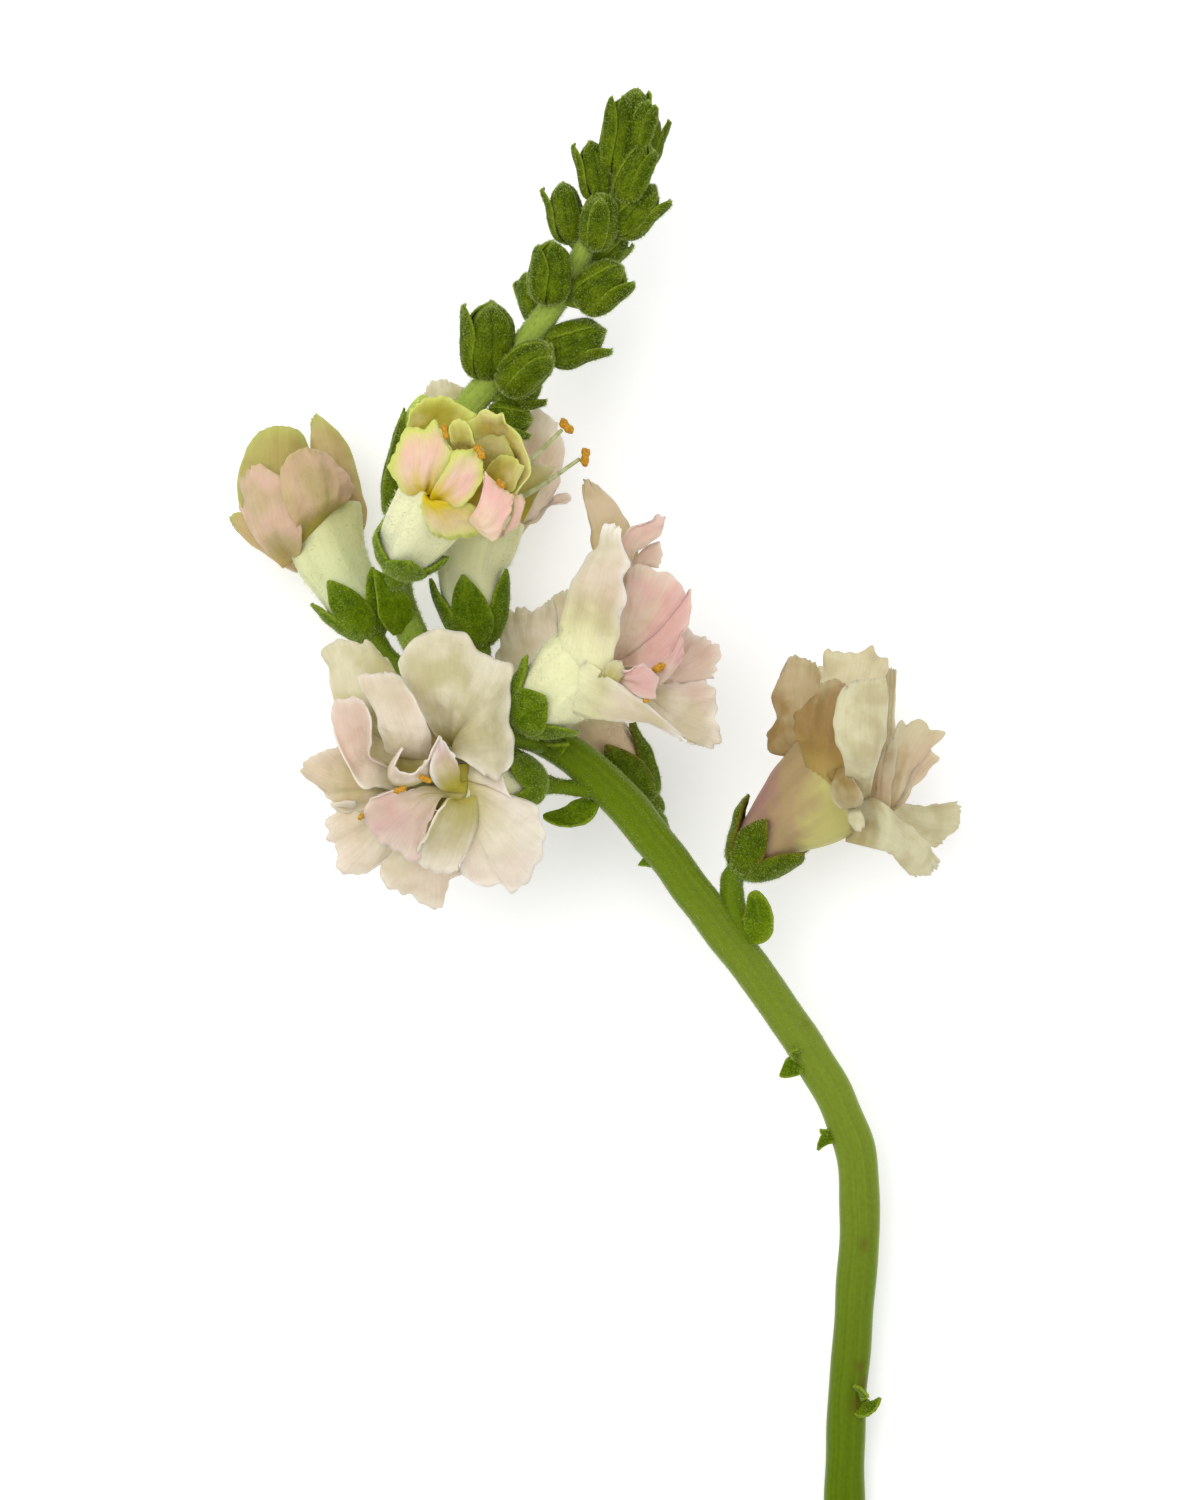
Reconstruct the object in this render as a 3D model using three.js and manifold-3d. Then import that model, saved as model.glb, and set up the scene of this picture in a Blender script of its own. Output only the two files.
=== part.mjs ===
// A cut stem of double snapdragon, lying on a table. Millimetres, +Z up. The bent stalk runs roughly along Y,
// its cut end towards -Y, with a spike of green buds at its tip and seven blooms below them. Each bloom sits on
// a short flower stalk: a green calyx of five sepals, and a corolla, which is a tube that opens into ruffled
// petals. The stem rests on its cut end and on the lowest petals.
import * as THREE from "three";
import { mergeVertices } from "three/addons/utils/BufferGeometryUtils.js";
import Module from "manifold-3d";

const wasm = await Module();
wasm.setup();

// ---- Driving dimensions, in millimetres -------------------------------------------------------------------
const PETAL_THICKNESS = 0.8;
const SEPAL_THICKNESS = 0.75;
const CALYX_GAP = 0.3; // between a flower stalk and the calyx that sits on it
const NECK_LENGTH = 1.2; // the straight end of a flower stalk
const CALYX_FLOOR = 0.9; // the thickness of the calyx under the tube
const CALYX_FLOOR_SHARE = 0.42; // of its radius
const CALYX_WAIST = 0.45; // the height of its waist, as a share of its length
const TUBE_START = 1.5; // from the end of the flower stalk to the foot of the tube
const TUBE_FOOT_RADIUS = 1.2;
const THROAT_LENGTH = 1.2; // the straight stretch of a tube beyond its calyx
const TUBE_CLEARANCE = 0.55; // between the calyx and the tube that stands in it
const MOUTH_DEPTH = 1.2; // of the dish at the mouth of a tube
const ROOT_DEPTH = 2.2; // of a petal's foot below the mouth
const WELD = 0.01; // corners nearer than this become one
const FILAMENT_RADIUS = 0.45;
const BUD_STALK_RADIUS = 0.9;
const BUD_REACH = 1.2; // from the middle of the stalk to a bud's foot: further off, the bud has its own stalk
const ANTHER = [1.35, 0.65, 0.75]; // half its length, width and height
// The pieces are laid out round a point on the stalk; this moves them to the middle of the part's footprint.
const LAYOUT_SHIFT = [0.8, 13.2, 0];

// How finely each kind of body is divided.
const STALK_SIDES = 11;
const STALK_RINGS = 44;
const FLOWER_STALK_SIDES = 7;
const FLOWER_STALK_RINGS = 3;
const BUD_STALK_SIDES = 5;
const TUBE_SIDES = 10;
const TUBE_RINGS = 6;
const FILAMENT_SIDES = 5;
const FILAMENT_RINGS = 4;
const ANTHER_SIDES = 7;
const ANTHER_ROWS = 5;
const PETAL_CELLS = [4, 4];
const BRACT_CELLS = [3, 2];
const SEPALS = 5;
const CALYX_COLUMNS = 4; // to a sepal
const BUD_COLUMNS = 2; // to a sepal

// The stalk's centre line with its radius, from the cut end to the tip: [x, y, z, radius].
const STALK = [
  [37, -125.2, 3, 3.1],
  [37, -112.5, 3.6, 3.1],
  [37.4, -97.5, 4.7, 3.0],
  [38.5, -84, 6, 3.0],
  [39.3, -71.2, 7.3, 3.0],
  [38.4, -60, 8.6, 2.95],
  [35.4, -52.2, 9.7, 2.95],
  [30.3, -43.5, 11.2, 3.0],
  [23.6, -34, 13, 3.0],
  [16.5, -24.8, 14.8, 3.0],
  [9.4, -15.1, 16.7, 3.0],
  [2.5, -6.8, 18.7, 3.0],
  [-3.4, -1.3, 20.1, 2.85],
  [-10.8, 2.9, 21, 2.7],
  [-19.5, 7.8, 21.3, 2.5],
  [-26.2, 14.2, 21, 2.35],
  [-29.7, 21, 20.6, 2.3],
  [-30.4, 28.5, 20.2, 2.2],
  [-28.8, 36, 20, 2.2],
  [-24.8, 44.2, 20, 2.2],
  [-18.8, 52.5, 20.3, 2.2],
  [-8.8, 64.2, 21.2, 1.85],
  [-2.2, 75.5, 22, 1.6],
  [1.8, 84.8, 22.6, 1.25],
  [4.5, 93.8, 23, 0.8],
];

// The blooms, from the lowest up the stalk.
// stalk: the flower stalk's centre line, from inside the main stalk to the seat of the calyx, with its radius.
// calyx: the point that it opens towards, its length, its inner radius half way up and at the tips, its turn.
// tube: its centre line beyond the calyx, with its radius.
// petals: [inset, bend, tip, width, facing, form]. A petal is rooted in the tube, at the share inset of its
// radius, and its middle line bends towards the first point and ends at the second; width is the greatest;
// facing is where its inner face looks; form is as in PLAIN_SHEET.
// stamens: [foot, bend, tip] of those that reach out of the mouth.
const BLOOMS = [
  {
    stalk: [[22.2, -28.5, 13.8, 2.2], [19.6, -24.6, 14.8, 1.6], [18.9, -21, 15, 1.6], [20.7, -18.3, 15.2, 1.7]],
    calyx: { towards: [28.5, -9.8, 17.2], length: 9.8, radius: 4.3, opening: 5.7, turn: 65 },
    tube: [[30.4, -8.7, 18, 7.0], [33.3, -6.5, 19.4, 8.2]],
    petals: [
      [0.8, [26.7, 1.5, 17], [29.5, 13.9, 20], 8.4, [0.6, 0.1, 0.8], { cup: -0.2, frill: 0.8 }],
      [0.7, [37.5, 5.2, 22], [38.7, 15.6, 21], 11.0, [0.3, 0, -1], { cup: -0.3, frill: 0.9, phase: 1 }],
      [0.8, [30.9, 4.2, 29], [35.7, 14.2, 26], 8.0, [0.7, 0, -0.8], { cup: 0.35, frill: 0.5, phase: 2 }],
      [0.8, [36.9, 0.8, 37], [39.3, 10.5, 32], 9.6, [0.4, 0.2, -1], { cup: -0.3, frill: 0.8, phase: 5 }],
      [0.5, [43.5, 0.8, 15], [43.8, 12.9, 15], 4.6, [0.6, 0, 1], { cup: 0.2, frill: 0.5, phase: 3 }],
      [0.5, [43.5, -3, 26], [50.7, 2.5, 20], 9.4, [0.4, -0.6, 1], { cup: 0.2, frill: 0.9 }],
      [0.4, [41.7, -3.8, 31], [44.5, 1.3, 28], 5.0, [0.8, 0.3, 0.2], { cup: 0.3, frill: 0.5, phase: 5 }],
      [0.8, [45, -11.7, 11], [54.1, -9.6, 9], 8.0, [0.1, 0.6, 1], { frill: 0.7, phase: 1.6 }],
      [0.8, [42, -10.8, 31], [50.1, -17.7, 20], 7.0, [0.2, 0.4, -1], { cup: -0.2, frill: 0.8, phase: 2.6 }],
      [0.8, [40.2, -6, 3], [45.3, -3, 0.6], 10.0, [0.3, 0.2, 1], { frill: 0.5, phase: 3.6 }],
    ],
  },
  {
    stalk: [[9.3, -13.8, 15.2, 1.7], [8.7, -10.8, 12.4, 1.4], [7.9, -9.3, 11, 1.4], [6.9, -7.2, 10.4, 1.7]],
    calyx: { towards: [2.7, 0.9, 11.4], length: 9.4, radius: 3.8, opening: 4.7, turn: 10 },
    tube: [[0, 4.2, 12, 5.4], [-3.3, 8.1, 12.4, 5.8]],
    petals: [
      [0.8, [-6.6, 14.2, 16], [-12.9, 21.8, 12], 11.4, [-0.3, 0.3, -1], { cup: -0.1, frill: 0.9 }],
      [0.8, [-2.7, 16.5, 14], [-6, 23.7, 12], 9.0, [0.1, 0.4, -1], { frill: 0.8, phase: 1 }],
      [0.7, [-9, 9, 13], [-13.8, 12.8, 10], 7.0, [-0.3, 0.3, -1], { frill: 0.6, phase: 2 }],
      [0.8, [-6.6, 11.1, 2.5], [-10.8, 15, 1], 10.0, [0.2, 0.2, 1], { frill: 0.5, phase: 3 }],
    ],
  },
  {
    stalk: [[0.4, -6, 19, 1.6], [-3.8, -5.7, 20.2, 1.25], [-6.6, -5.4, 21.2, 1.2], [-8.8, -5.1, 22, 1.5]],
    calyx: { towards: [-19.5, -4.3, 30], length: 8.2, radius: 3.7, opening: 4.7, turn: 20 },
    tube: [[-19.5, -4.2, 31.2, 5.4], [-23.2, -3.8, 34.8, 6.2]],
    petals: [
      [0.8, [-35.1, 2.2, 29], [-37.5, 16.6, 28.5], 13.5, [0.1, -0.2, 1], { cup: 0.15, frill: 0.9, wide: 0.85 }],
      [0.7, [-18.9, 6, 43], [-20.7, 17.4, 37], 17.6, [0, -0.15, 1], { cup: -0.3, frill: 0.8, wide: 0.85, phase: 1 }],
      [0.5, [-29.7, 3.3, 45], [-31.2, 11.2, 41], 9.5, [0.1, 0.2, 1], { cup: -0.4, frill: 0.6, phase: 2 }],
      [0.8, [-37.5, -3.8, 40], [-37.2, 7.9, 37], 6.0, [0.5, 0.2, 1], { cup: 0.2, frill: 0.5 }],
      [0.8, [-38.2, -1.8, 30], [-44.5, -3.1, 26.5], 8.0, [0.1, -0.2, 1], { cup: -0.2, frill: 0.6, phase: 3 }],
      [0.8, [-34.2, -9.8, 30], [-39.6, -17.7, 26.5], 12.5, [0.1, 0.2, 1], { frill: 0.9, phase: 0.5 }],
      [0.8, [-26.4, -14.2, 32], [-26.4, -23.4, 26.5], 14.0, [0, 0.1, 1], { frill: 0.9, wide: 0.85, phase: 1.5 }],
      [0.7, [-15, -8.4, 37], [-12.6, -20.4, 30.5], 16.0, [-0.1, 0.1, 1], { cup: -0.15, frill: 0.8, wide: 0.8, phase: 2.5 }],
      [0.4, [-28.8, -9.8, 43], [-31.2, -15, 38.3], 9.4, [0, 0.3, 1], { cup: 0.1, frill: 0.6, phase: 4 }],
      [0.5, [-20.6, -13.2, 40.5], [-22.8, -18.6, 35.2], 9.0, [-0.5, 0.3, 1], { cup: 0.25, frill: 0.5, phase: 2 }],
      [0.6, [-29.4, -6, 40], [-27.9, -1.8, 45], 6.4, [0, 1, 0.2], { cup: 0.75, frill: 0.3, foot: 0.6 }],
      [0.3, [-23.1, -4.5, 43], [-19.8, -3, 42], 7.6, [-0.6, 0.3, 1], { cup: 0.4, frill: 0.5, phase: 1 }],
    ],
  },
  {
    stalk: [[-8.2, 1.2, 21.4, 1.8], [-10.8, 1.3, 25, 1.4], [-13.5, 2.4, 28.2, 1.4], [-12.9, 4.3, 29, 1.7]],
    calyx: { towards: [-4.8, 10, 31.6], length: 8.2, radius: 4.4, opening: 6.0, turn: 0 },
    tube: [[-3.3, 11.7, 32, 6.6], [0.3, 13.2, 32.6, 7.4]],
    petals: [
      [0.8, [-2.1, 22.5, 42], [1.5, 33.4, 37.5], 12.5, [0.9, 0, -0.6], { cup: 0.35, frill: 0.9, foot: 0.5 }],
      [0.8, [1.8, 26.7, 28], [-1.3, 40.2, 27], 10.0, [0.9, 0, 0.5], { cup: 0.2, frill: 0.7, phase: 1 }],
      [0.6, [4.2, 27, 34], [9.6, 34.8, 31.5], 4.6, [0.2, -0.9, 0.6], { cup: 0.3, frill: 0.5, phase: 2 }],
      [0.6, [6, 22.5, 29], [8.4, 30.9, 28], 6.0, [0.5, -0.5, 0.8], { frill: 0.6, phase: 3 }],
      [0.4, [6.8, 15.8, 41], [9.3, 26.7, 37.5], 12.5, [0.35, 0.1, 1], { cup: 0.15, frill: 0.7, phase: 4 }],
      [0.8, [10.2, 11.7, 30], [17.4, 13.9, 27], 9.4, [0.1, 0.3, 1], { frill: 0.8, phase: 5 }],
      [0.8, [9.3, 7.2, 34], [17.4, 2.5, 27], 9.0, [0.1, 0.5, 1], { frill: 0.9, phase: 0.7 }],
      [0.8, [4.5, 4.8, 41], [14.1, 1.3, 35], 6.0, [0.3, 0.8, -0.3], { cup: 0.3, frill: 0.6, phase: 2.2 }],
      [0.2, [4.8, 9, 42], [7.6, 10.2, 41], 6.0, [0.1, 1, 0.6], { cup: 0.3, frill: 0.5, phase: 1.1 }],
      [0.4, [10.2, 9, 38], [12.2, 16.5, 37], 4.4, [-0.6, 0.5, 0.8], { cup: 0.2, frill: 0.4, phase: 3.3 }],
    ],
  },
  {
    stalk: [[-12.8, 4.2, 20.6, 1.6], [-14.7, 9, 19, 1.3], [-17.4, 12.8, 18.1, 1.3], [-18.1, 15.6, 18, 1.7]],
    calyx: { towards: [-19.3, 24.8, 18.2], length: 11.0, radius: 4.3, opening: 5.3, turn: 54 },
    tube: [[-19.1, 30, 18.2, 5.9], [-17.4, 35.7, 17.2, 6.2]],
    petals: [
      [0.7, [-8.2, 39, 13], [-8.2, 51.4, 11.5], 9.6, [-0.3, 0, 1], { cup: 0.15, frill: 0.8 }],
      [0.6, [-9, 35.7, 13], [-4.3, 38.1, 12.5], 3.0, [0, 0.3, 1], { frill: 0.3, phase: 1 }],
      [0.8, [-20.1, 45, 12], [-24, 55.5, 11.5], 7.4, [0.1, -0.3, 1], { frill: 0.8, phase: 2 }],
      [0.5, [-11.2, 40.5, 21], [-7.2, 43, 20.5], 3.4, [-0.2, 0.3, 1], { cup: 0.3, frill: 0.3, phase: 3 }],
      [0.7, [-14.2, 42, 1.6], [-13.2, 46.5, 0.8], 9.0, [0, 0, 1], { frill: 0.5, phase: 4 }],
    ],
    stamens: [
      [[-16.5, 37.5, 17], [-10.5, 43.2, 22], [-5.7, 47.9, 24.5]],
      [[-16.5, 35.7, 17], [-9.8, 39, 22], [-3, 43.6, 24]],
    ],
  },
  {
    stalk: [[-24, 9, 20.6, 1.6], [-29.1, 12, 19.4, 1.3], [-31.8, 14.1, 18.4, 1.3], [-33.9, 16.9, 17.4, 1.6]],
    calyx: { towards: [-39, 26.1, 14.6], length: 9.4, radius: 3.9, opening: 4.9, turn: 64 },
    tube: [[-40.4, 29.1, 13.8, 5.4], [-42.3, 35.1, 12, 6.5]],
    petals: [
      [0.7, [-45, 37.5, 24], [-48.6, 48.8, 12], 14.0, [-0.1, -0.1, -1], { round: 0.45, cup: -0.5, foot: 0.6 }],
      [0.8, [-35.1, 42, 14], [-42.9, 50.9, 12], 9.4, [-0.9, -0.3, -0.2], { round: 0.4, cup: 0.5, foot: 0.6 }],
      [0.8, [-49.8, 28.5, 12], [-55.5, 35.5, 11], 9.0, [0.5, 0.9, 0.1], { round: 0.35, cup: 0.5, foot: 0.6 }],
      [0.7, [-46.5, 34.5, -6.3], [-50.7, 44.2, 6], 13.0, [0.1, 0.1, 1], { round: 0.45, cup: 0.4, foot: 0.6 }],
      [0.8, [-52.2, 33, 20], [-53.1, 43.8, 13], 9.6, [0.6, 0.2, -0.8], { round: 0.45, cup: -0.4, foot: 0.6 }],
    ],
  },
  {
    stalk: [[-29.4, 21.6, 20.8, 1.7], [-30.6, 23.4, 24.2, 1.5], [-30.9, 24.9, 25.8, 1.5], [-30.1, 26.7, 27.4, 1.8]],
    calyx: { towards: [-26.7, 34.2, 32.6], length: 6.6, radius: 4.1, opening: 5.2, turn: 40 },
    tube: [[-24.9, 36, 34, 5.7], [-22.5, 39, 36.2, 6.2]],
    petals: [
      [0.8, [-26.1, 46.5, 35], [-24, 52.4, 40.5], 11.0, [0.1, -0.8, 1], { cup: 0.4, foot: 0.5, frill: 0.3 }],
      [0.8, [-15.6, 43.2, 34], [-13.8, 48.9, 40], 9.4, [-0.7, -0.4, 1], { cup: 0.4, foot: 0.5, frill: 0.5 }],
      [0.4, [-27, 41.4, 47], [-26.4, 48, 43.5], 8.4, [0, 0.1, 1], { cup: -0.35, foot: 0.5, frill: 0.3 }],
      [0.8, [-29.7, 37.5, 39], [-31.3, 42.6, 40], 5.0, [0.8, 0.1, 0.8], { cup: 0.3, frill: 0.2 }],
      [0.2, [-21.6, 39.6, 48], [-18, 43.2, 43], 7.2, [-0.2, 0.1, 1], { cup: -0.35, frill: 0.3 }],
      [0.4, [-17.4, 37.5, 48], [-15, 33.3, 42], 8.0, [-0.4, 0.3, 1], { cup: -0.35, frill: 0.3 }],
      [0.8, [-24, 30.8, 36], [-19.5, 31.3, 39], 9.0, [0, 0.8, 0.8], { cup: 0.4, foot: 0.5, frill: 0.2 }],
      [0.8, [-14.7, 39, 38], [-11.1, 42, 41], 7.0, [-0.6, 0.2, 1], { cup: 0.4, frill: 0.3 }],
    ],
  },
];

// Green buds on the spike: [foot, tip, width].
const BUDS = [
  [[-16.9, 55.5, 20.6], [-16.5, 67, 22.5], 8.4],
  [[-8.2, 59.5, 21], [0.6, 63, 20], 6.6],
  [[-14.5, 54, 23.4], [-7.5, 60.4, 26.6], 6.8],
  [[-15, 52.2, 20.6], [-9, 54.6, 19.6], 4.8],
  [[-16.8, 49.8, 20.4], [-10.2, 49.5, 21.2], 5.2],
  [[-7.8, 66.9, 23], [-7.2, 76, 25.6], 6.6],
  [[-8.7, 64.2, 19], [-10.8, 71.7, 15.6], 4.8],
  [[-3.3, 66.6, 22.6], [3.6, 72.3, 24.4], 6.8],
  [[-1.2, 72.9, 20.4], [3.3, 78, 17.6], 5.6],
  [[-0.9, 75, 23.4], [0.3, 83.1, 26], 5.4],
  [[-4.2, 76, 21.6], [-5.8, 84.8, 21.4], 5.2],
  [[2.1, 77.5, 22], [8.2, 84.5, 22], 6.4],
  [[0, 82.2, 22.8], [-1.6, 91.3, 22.8], 4.8],
  [[3.3, 82.2, 24], [6.9, 90.5, 25.6], 4.8],
  [[1.8, 86.2, 23.8], [3.3, 97.8, 24.6], 4.8],
  [[3.9, 87.8, 22], [5.5, 99, 22.8], 5.4],
  [[5.1, 89.7, 24.4], [7.3, 96.9, 25.2], 3.6],
  [[5.7, 87, 22], [8.2, 95.1, 22.4], 4.4],
  [[-30, 33, 21], [-28.1, 53.5, 24.4], 7.0],
];

// Bracts, and the stubs of blooms that fell: [foot, bend, tip, width, facing].
const BRACTS = [
  [[-29.7, 17.7, 22.4], [-30.6, 22.5, 27.4], [-33.9, 27, 27], 5.4, [-0.3, 0.1, -1]],
  [[-0.6, -7.5, 19], [-4.2, -14.4, 20.5], [-8.8, -9.3, 19.5], 3.8, [0, 1, 0.5]],
  [[21.3, -28.8, 15], [28.5, -27.3, 18], [22.8, -21.4, 18.6], 6.4, [-0.3, 0.3, 1]],
  [[-6.6, -0.3, 22.6], [-7.8, 1.8, 26.5], [-4.5, 0.9, 28], 3.8, [0.2, 0.7, 0.8]],
  [[30.4, -46.5, 11.4], [28.5, -48.3, 14], [27, -49.2, 13], 3.2, [0.3, 0.5, 1]],
  [[30.4, -46.5, 11.4], [29.5, -45.3, 14.6], [28.5, -45.6, 15], 2.4, [0.3, -0.5, 1]],
  [[36, -57.9, 8.8], [33.9, -57.9, 11], [32.7, -60.6, 10.4], 2.4, [0.3, 0.3, 1]],
  [[36, -57.9, 8.8], [34.2, -58.5, 10.4], [33.1, -57.1, 10.4], 2.0, [0.3, -0.3, 1]],
  [[38.4, -98.2, 5], [40.2, -101.1, 8.4], [42.4, -97.5, 8.6], 3.2, [-0.3, 0.5, 1]],
  [[38.7, -96.8, 5], [39.3, -96.9, 9.6], [40.5, -97.8, 9.4], 2.8, [-0.3, -0.5, 1]],
  [[8.2, -16.8, 16.2], [6.9, -16.5, 17], [5.7, -17.4, 16.4], 1.8, [0, 0.3, 1]],
];

// The outline of a bud, and of the heart that shows between its tips, as [radius, height] in shares of half
// its width and of its length.
const BUD_OUTLINE = [[0.28, 0], [0.92, 0.22], [0.96, 0.62], [0.4, 1]];
const BUD_HEART = [[0.3, 0.86]];
const CALYX_CLEFT = 0.62; // how far down from the tips the sepals are apart, as a share of the length
const BUD_CLEFT = 0.2;
const LOBE_CORNER = 1.25; // 1 gives straight-sided tips, more gives rounder ones

// ---- Sheets: petals and bracts -----------------------------------------------------------------------------
// What shapes a sheet besides its middle line and width: foot = share of the width at the foot; wide = where
// along the middle line it is widest; round and corner = how its end is rounded; cup = how far its edges rise;
// frill = the height of its ruffled rim in millimetres; waves and phase = the count of ruffles and their start.
const PLAIN_SHEET = { foot: 0.28, wide: 0.7, round: 0.3, corner: 2.4, cup: 0, frill: 0, waves: 2, phase: 0 };
const POINTED = { foot: 0.5, wide: 0.35, round: 0.62, corner: 1.15 };
const SLOPE_STEP = 0.02; // of u and v, to measure which way a sheet faces

// The point of a sheet at u, from foot to end, and v, from side to side.
function sheetPoint(middle, width, facing, form, u, v) {
  const share = u * (1 - form.round * Math.abs(v) ** form.corner);
  const along = middle.getTangent(share);
  const side = along.clone().cross(facing).normalize();
  const up = side.clone().cross(along);
  const spread = Math.sin((Math.min(share / form.wide, 1) * Math.PI) / 2);
  const half = (width / 2) * (form.foot + (1 - form.foot) * spread);
  const rim = 1 - (1 - Math.abs(v) ** 3) * (1 - share ** 4);
  const wave = form.frill * rim * Math.sin(form.waves * Math.PI * (v + v * v * share) + form.phase);
  return middle
    .getPoint(share)
    .addScaledVector(side, half * v)
    .addScaledVector(up, form.cup * half * v * v + wave);
}

// The two faces of a sheet, each a grid of points half the thickness off its middle surface.
function sheetFaces(point, thickness, rows, columns) {
  return [1, -1].map((way) => {
    const points = [];
    for (let i = 0; i <= rows; i++) {
      for (let j = 0; j <= columns; j++) {
        const u = i / rows;
        const v = (2 * j) / columns - 1;
        const alongSlope = point(Math.min(u + SLOPE_STEP, 1), v).sub(point(Math.max(u - SLOPE_STEP, 0), v));
        const acrossSlope = point(u, Math.min(v + SLOPE_STEP, 1)).sub(point(u, Math.max(v - SLOPE_STEP, -1)));
        const normal = acrossSlope.cross(alongSlope).normalize();
        points.push(point(u, v).addScaledVector(normal, (way * thickness) / 2));
      }
    }
    return points;
  });
}

// A closed sheet of even thickness, with the same triangles on both faces.
function sheet([foot, bend, tip, width, facing, form = {}], thickness, [rows, columns]) {
  const shape = { ...PLAIN_SHEET, ...form };
  const middle = new THREE.QuadraticBezierCurve3(vector(foot), vector(bend), vector(tip));
  const point = (u, v) => sheetPoint(middle, width, vector(facing), shape, u, v);
  const faces = sheetFaces(point, thickness, rows, columns);
  const row = columns + 1;
  const under = faces[0].length;
  const triangles = [];
  for (let i = 0; i < rows; i++) {
    for (let j = 0; j < columns; j++) {
      const a = i * row + j;
      const [b, c, d] = [a + 1, a + row + 1, a + row];
      triangles.push([a, b, c], [a, c, d], [under + a, under + c, under + b], [under + a, under + d, under + c]);
    }
  }
  const edge = sheetEdge(rows, columns);
  edge.forEach((a, k) => {
    const b = edge[(k + 1) % edge.length];
    triangles.push([b, a, under + a], [b, under + a, under + b]);
  });
  return solid(faces.flat(), triangles);
}

// The grid's outline, once round.
function sheetEdge(rows, columns) {
  const row = columns + 1;
  const edge = [];
  for (let j = 0; j < columns; j++) edge.push(j);
  for (let i = 0; i < rows; i++) edge.push(i * row + columns);
  for (let j = columns; j > 0; j--) edge.push(rows * row + j);
  for (let i = rows; i > 0; i--) edge.push(i * row);
  return edge;
}

// ---- Round bodies: stalks, tubes, calyces and buds ---------------------------------------------------------
// A closed body through rings of equal size, with a fan at each end.
function loft(rings) {
  const sides = rings[0].length;
  const middleOf = (ring) => ring.reduce((sum, p) => sum.add(p), new THREE.Vector3()).divideScalar(sides);
  const points = [...rings.flat(), middleOf(rings[0]), middleOf(rings.at(-1))];
  const first = points.length - 2;
  const last = points.length - 1;
  const end = (rings.length - 1) * sides;
  const triangles = [];
  for (let k = 0; k < sides; k++) {
    const next = (k + 1) % sides;
    for (let i = 0; i < rings.length - 1; i++) {
      const [a, b, c, d] = [i * sides + k, i * sides + next, (i + 1) * sides + next, (i + 1) * sides + k];
      triangles.push([a, b, c], [a, c, d]);
    }
    triangles.push([first, next, k], [last, end + k, end + next]);
  }
  return solid(points, triangles);
}

// Rings round a smooth line through [x, y, z, radius] stations.
function ringsAlong(stations, sides, count) {
  const line = new THREE.CatmullRomCurve3(stations.map(vector), false, "centripetal");
  const lastStation = stations.length - 1;
  let across = new THREE.Vector3(0, 0, 1);
  return Array.from({ length: count + 1 }, (_, k) => {
    const share = k / count;
    const along = line.getTangent(share);
    across = across.clone().addScaledVector(along, -across.dot(along)).normalize();
    const other = along.clone().cross(across);
    const at = share * lastStation;
    const low = Math.min(Math.floor(at), lastStation - 1);
    const radius = THREE.MathUtils.lerp(stations[low][3], stations[low + 1][3], at - low);
    return ring(line.getPoint(share), across, other, radius, sides);
  });
}

function ring(centre, across, other, radius, sides) {
  return Array.from({ length: sides }, (_, k) => {
    const angle = (2 * Math.PI * k) / sides;
    const point = centre.clone().addScaledVector(across, radius * Math.cos(angle));
    return point.addScaledVector(other, radius * Math.sin(angle));
  });
}

// A placement with its z axis from foot towards tip, turned about that axis.
function standing(foot, tip, turn) {
  const along = vector(tip).sub(vector(foot)).normalize();
  const upright = new THREE.Quaternion().setFromUnitVectors(new THREE.Vector3(0, 0, 1), along);
  upright.multiply(new THREE.Quaternion().setFromAxisAngle(new THREE.Vector3(0, 0, 1), turn));
  return new THREE.Matrix4().compose(vector(foot), upright, new THREE.Vector3(1, 1, 1));
}

// A ring of a body with pointed lobes round its z axis: what stands above the base follows the lobes' outline.
function lobedRing([radius, height], base, cleft, columns, place) {
  const sides = SEPALS * columns;
  return Array.from({ length: sides }, (_, k) => {
    const angle = (2 * Math.PI * k) / sides;
    const offMiddle = Math.abs((((k / columns + 0.5) % 1) - 0.5) * 2);
    const reach = 1 - cleft * offMiddle ** LOBE_CORNER;
    const z = base + (height - base) * reach;
    return new THREE.Vector3(radius * Math.cos(angle), radius * Math.sin(angle), z).applyMatrix4(place);
  });
}

// ---- Parts -------------------------------------------------------------------------------------------------
function buildStalk() {
  return loft(ringsAlong(STALK, STALK_SIDES, STALK_RINGS));
}

// The way from a bloom's seat, at the end of its flower stalk, up the middle of its calyx.
function calyxAxis({ stalk, calyx }) {
  return vector(calyx.towards).sub(vector(stalk.at(-1))).normalize();
}

// A flower stalk meets its calyx squarely, with a straight neck.
function buildFlowerStalk(bloom) {
  const axis = calyxAxis(bloom);
  const seat = bloom.stalk.at(-1);
  const neck = vector(seat).addScaledVector(axis, -NECK_LENGTH);
  const stations = [...bloom.stalk.slice(0, -1), [...neck.toArray(), seat[3]]];
  const rings = ringsAlong(stations, FLOWER_STALK_SIDES, FLOWER_STALK_RINGS);
  const neckRing = rings.pop().map((point) => point.sub(neck).projectOnPlane(axis).add(neck));
  const seatRing = neckRing.map((point) => point.clone().addScaledVector(axis, NECK_LENGTH));
  return loft([...rings, neckRing, seatRing]);
}

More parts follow.
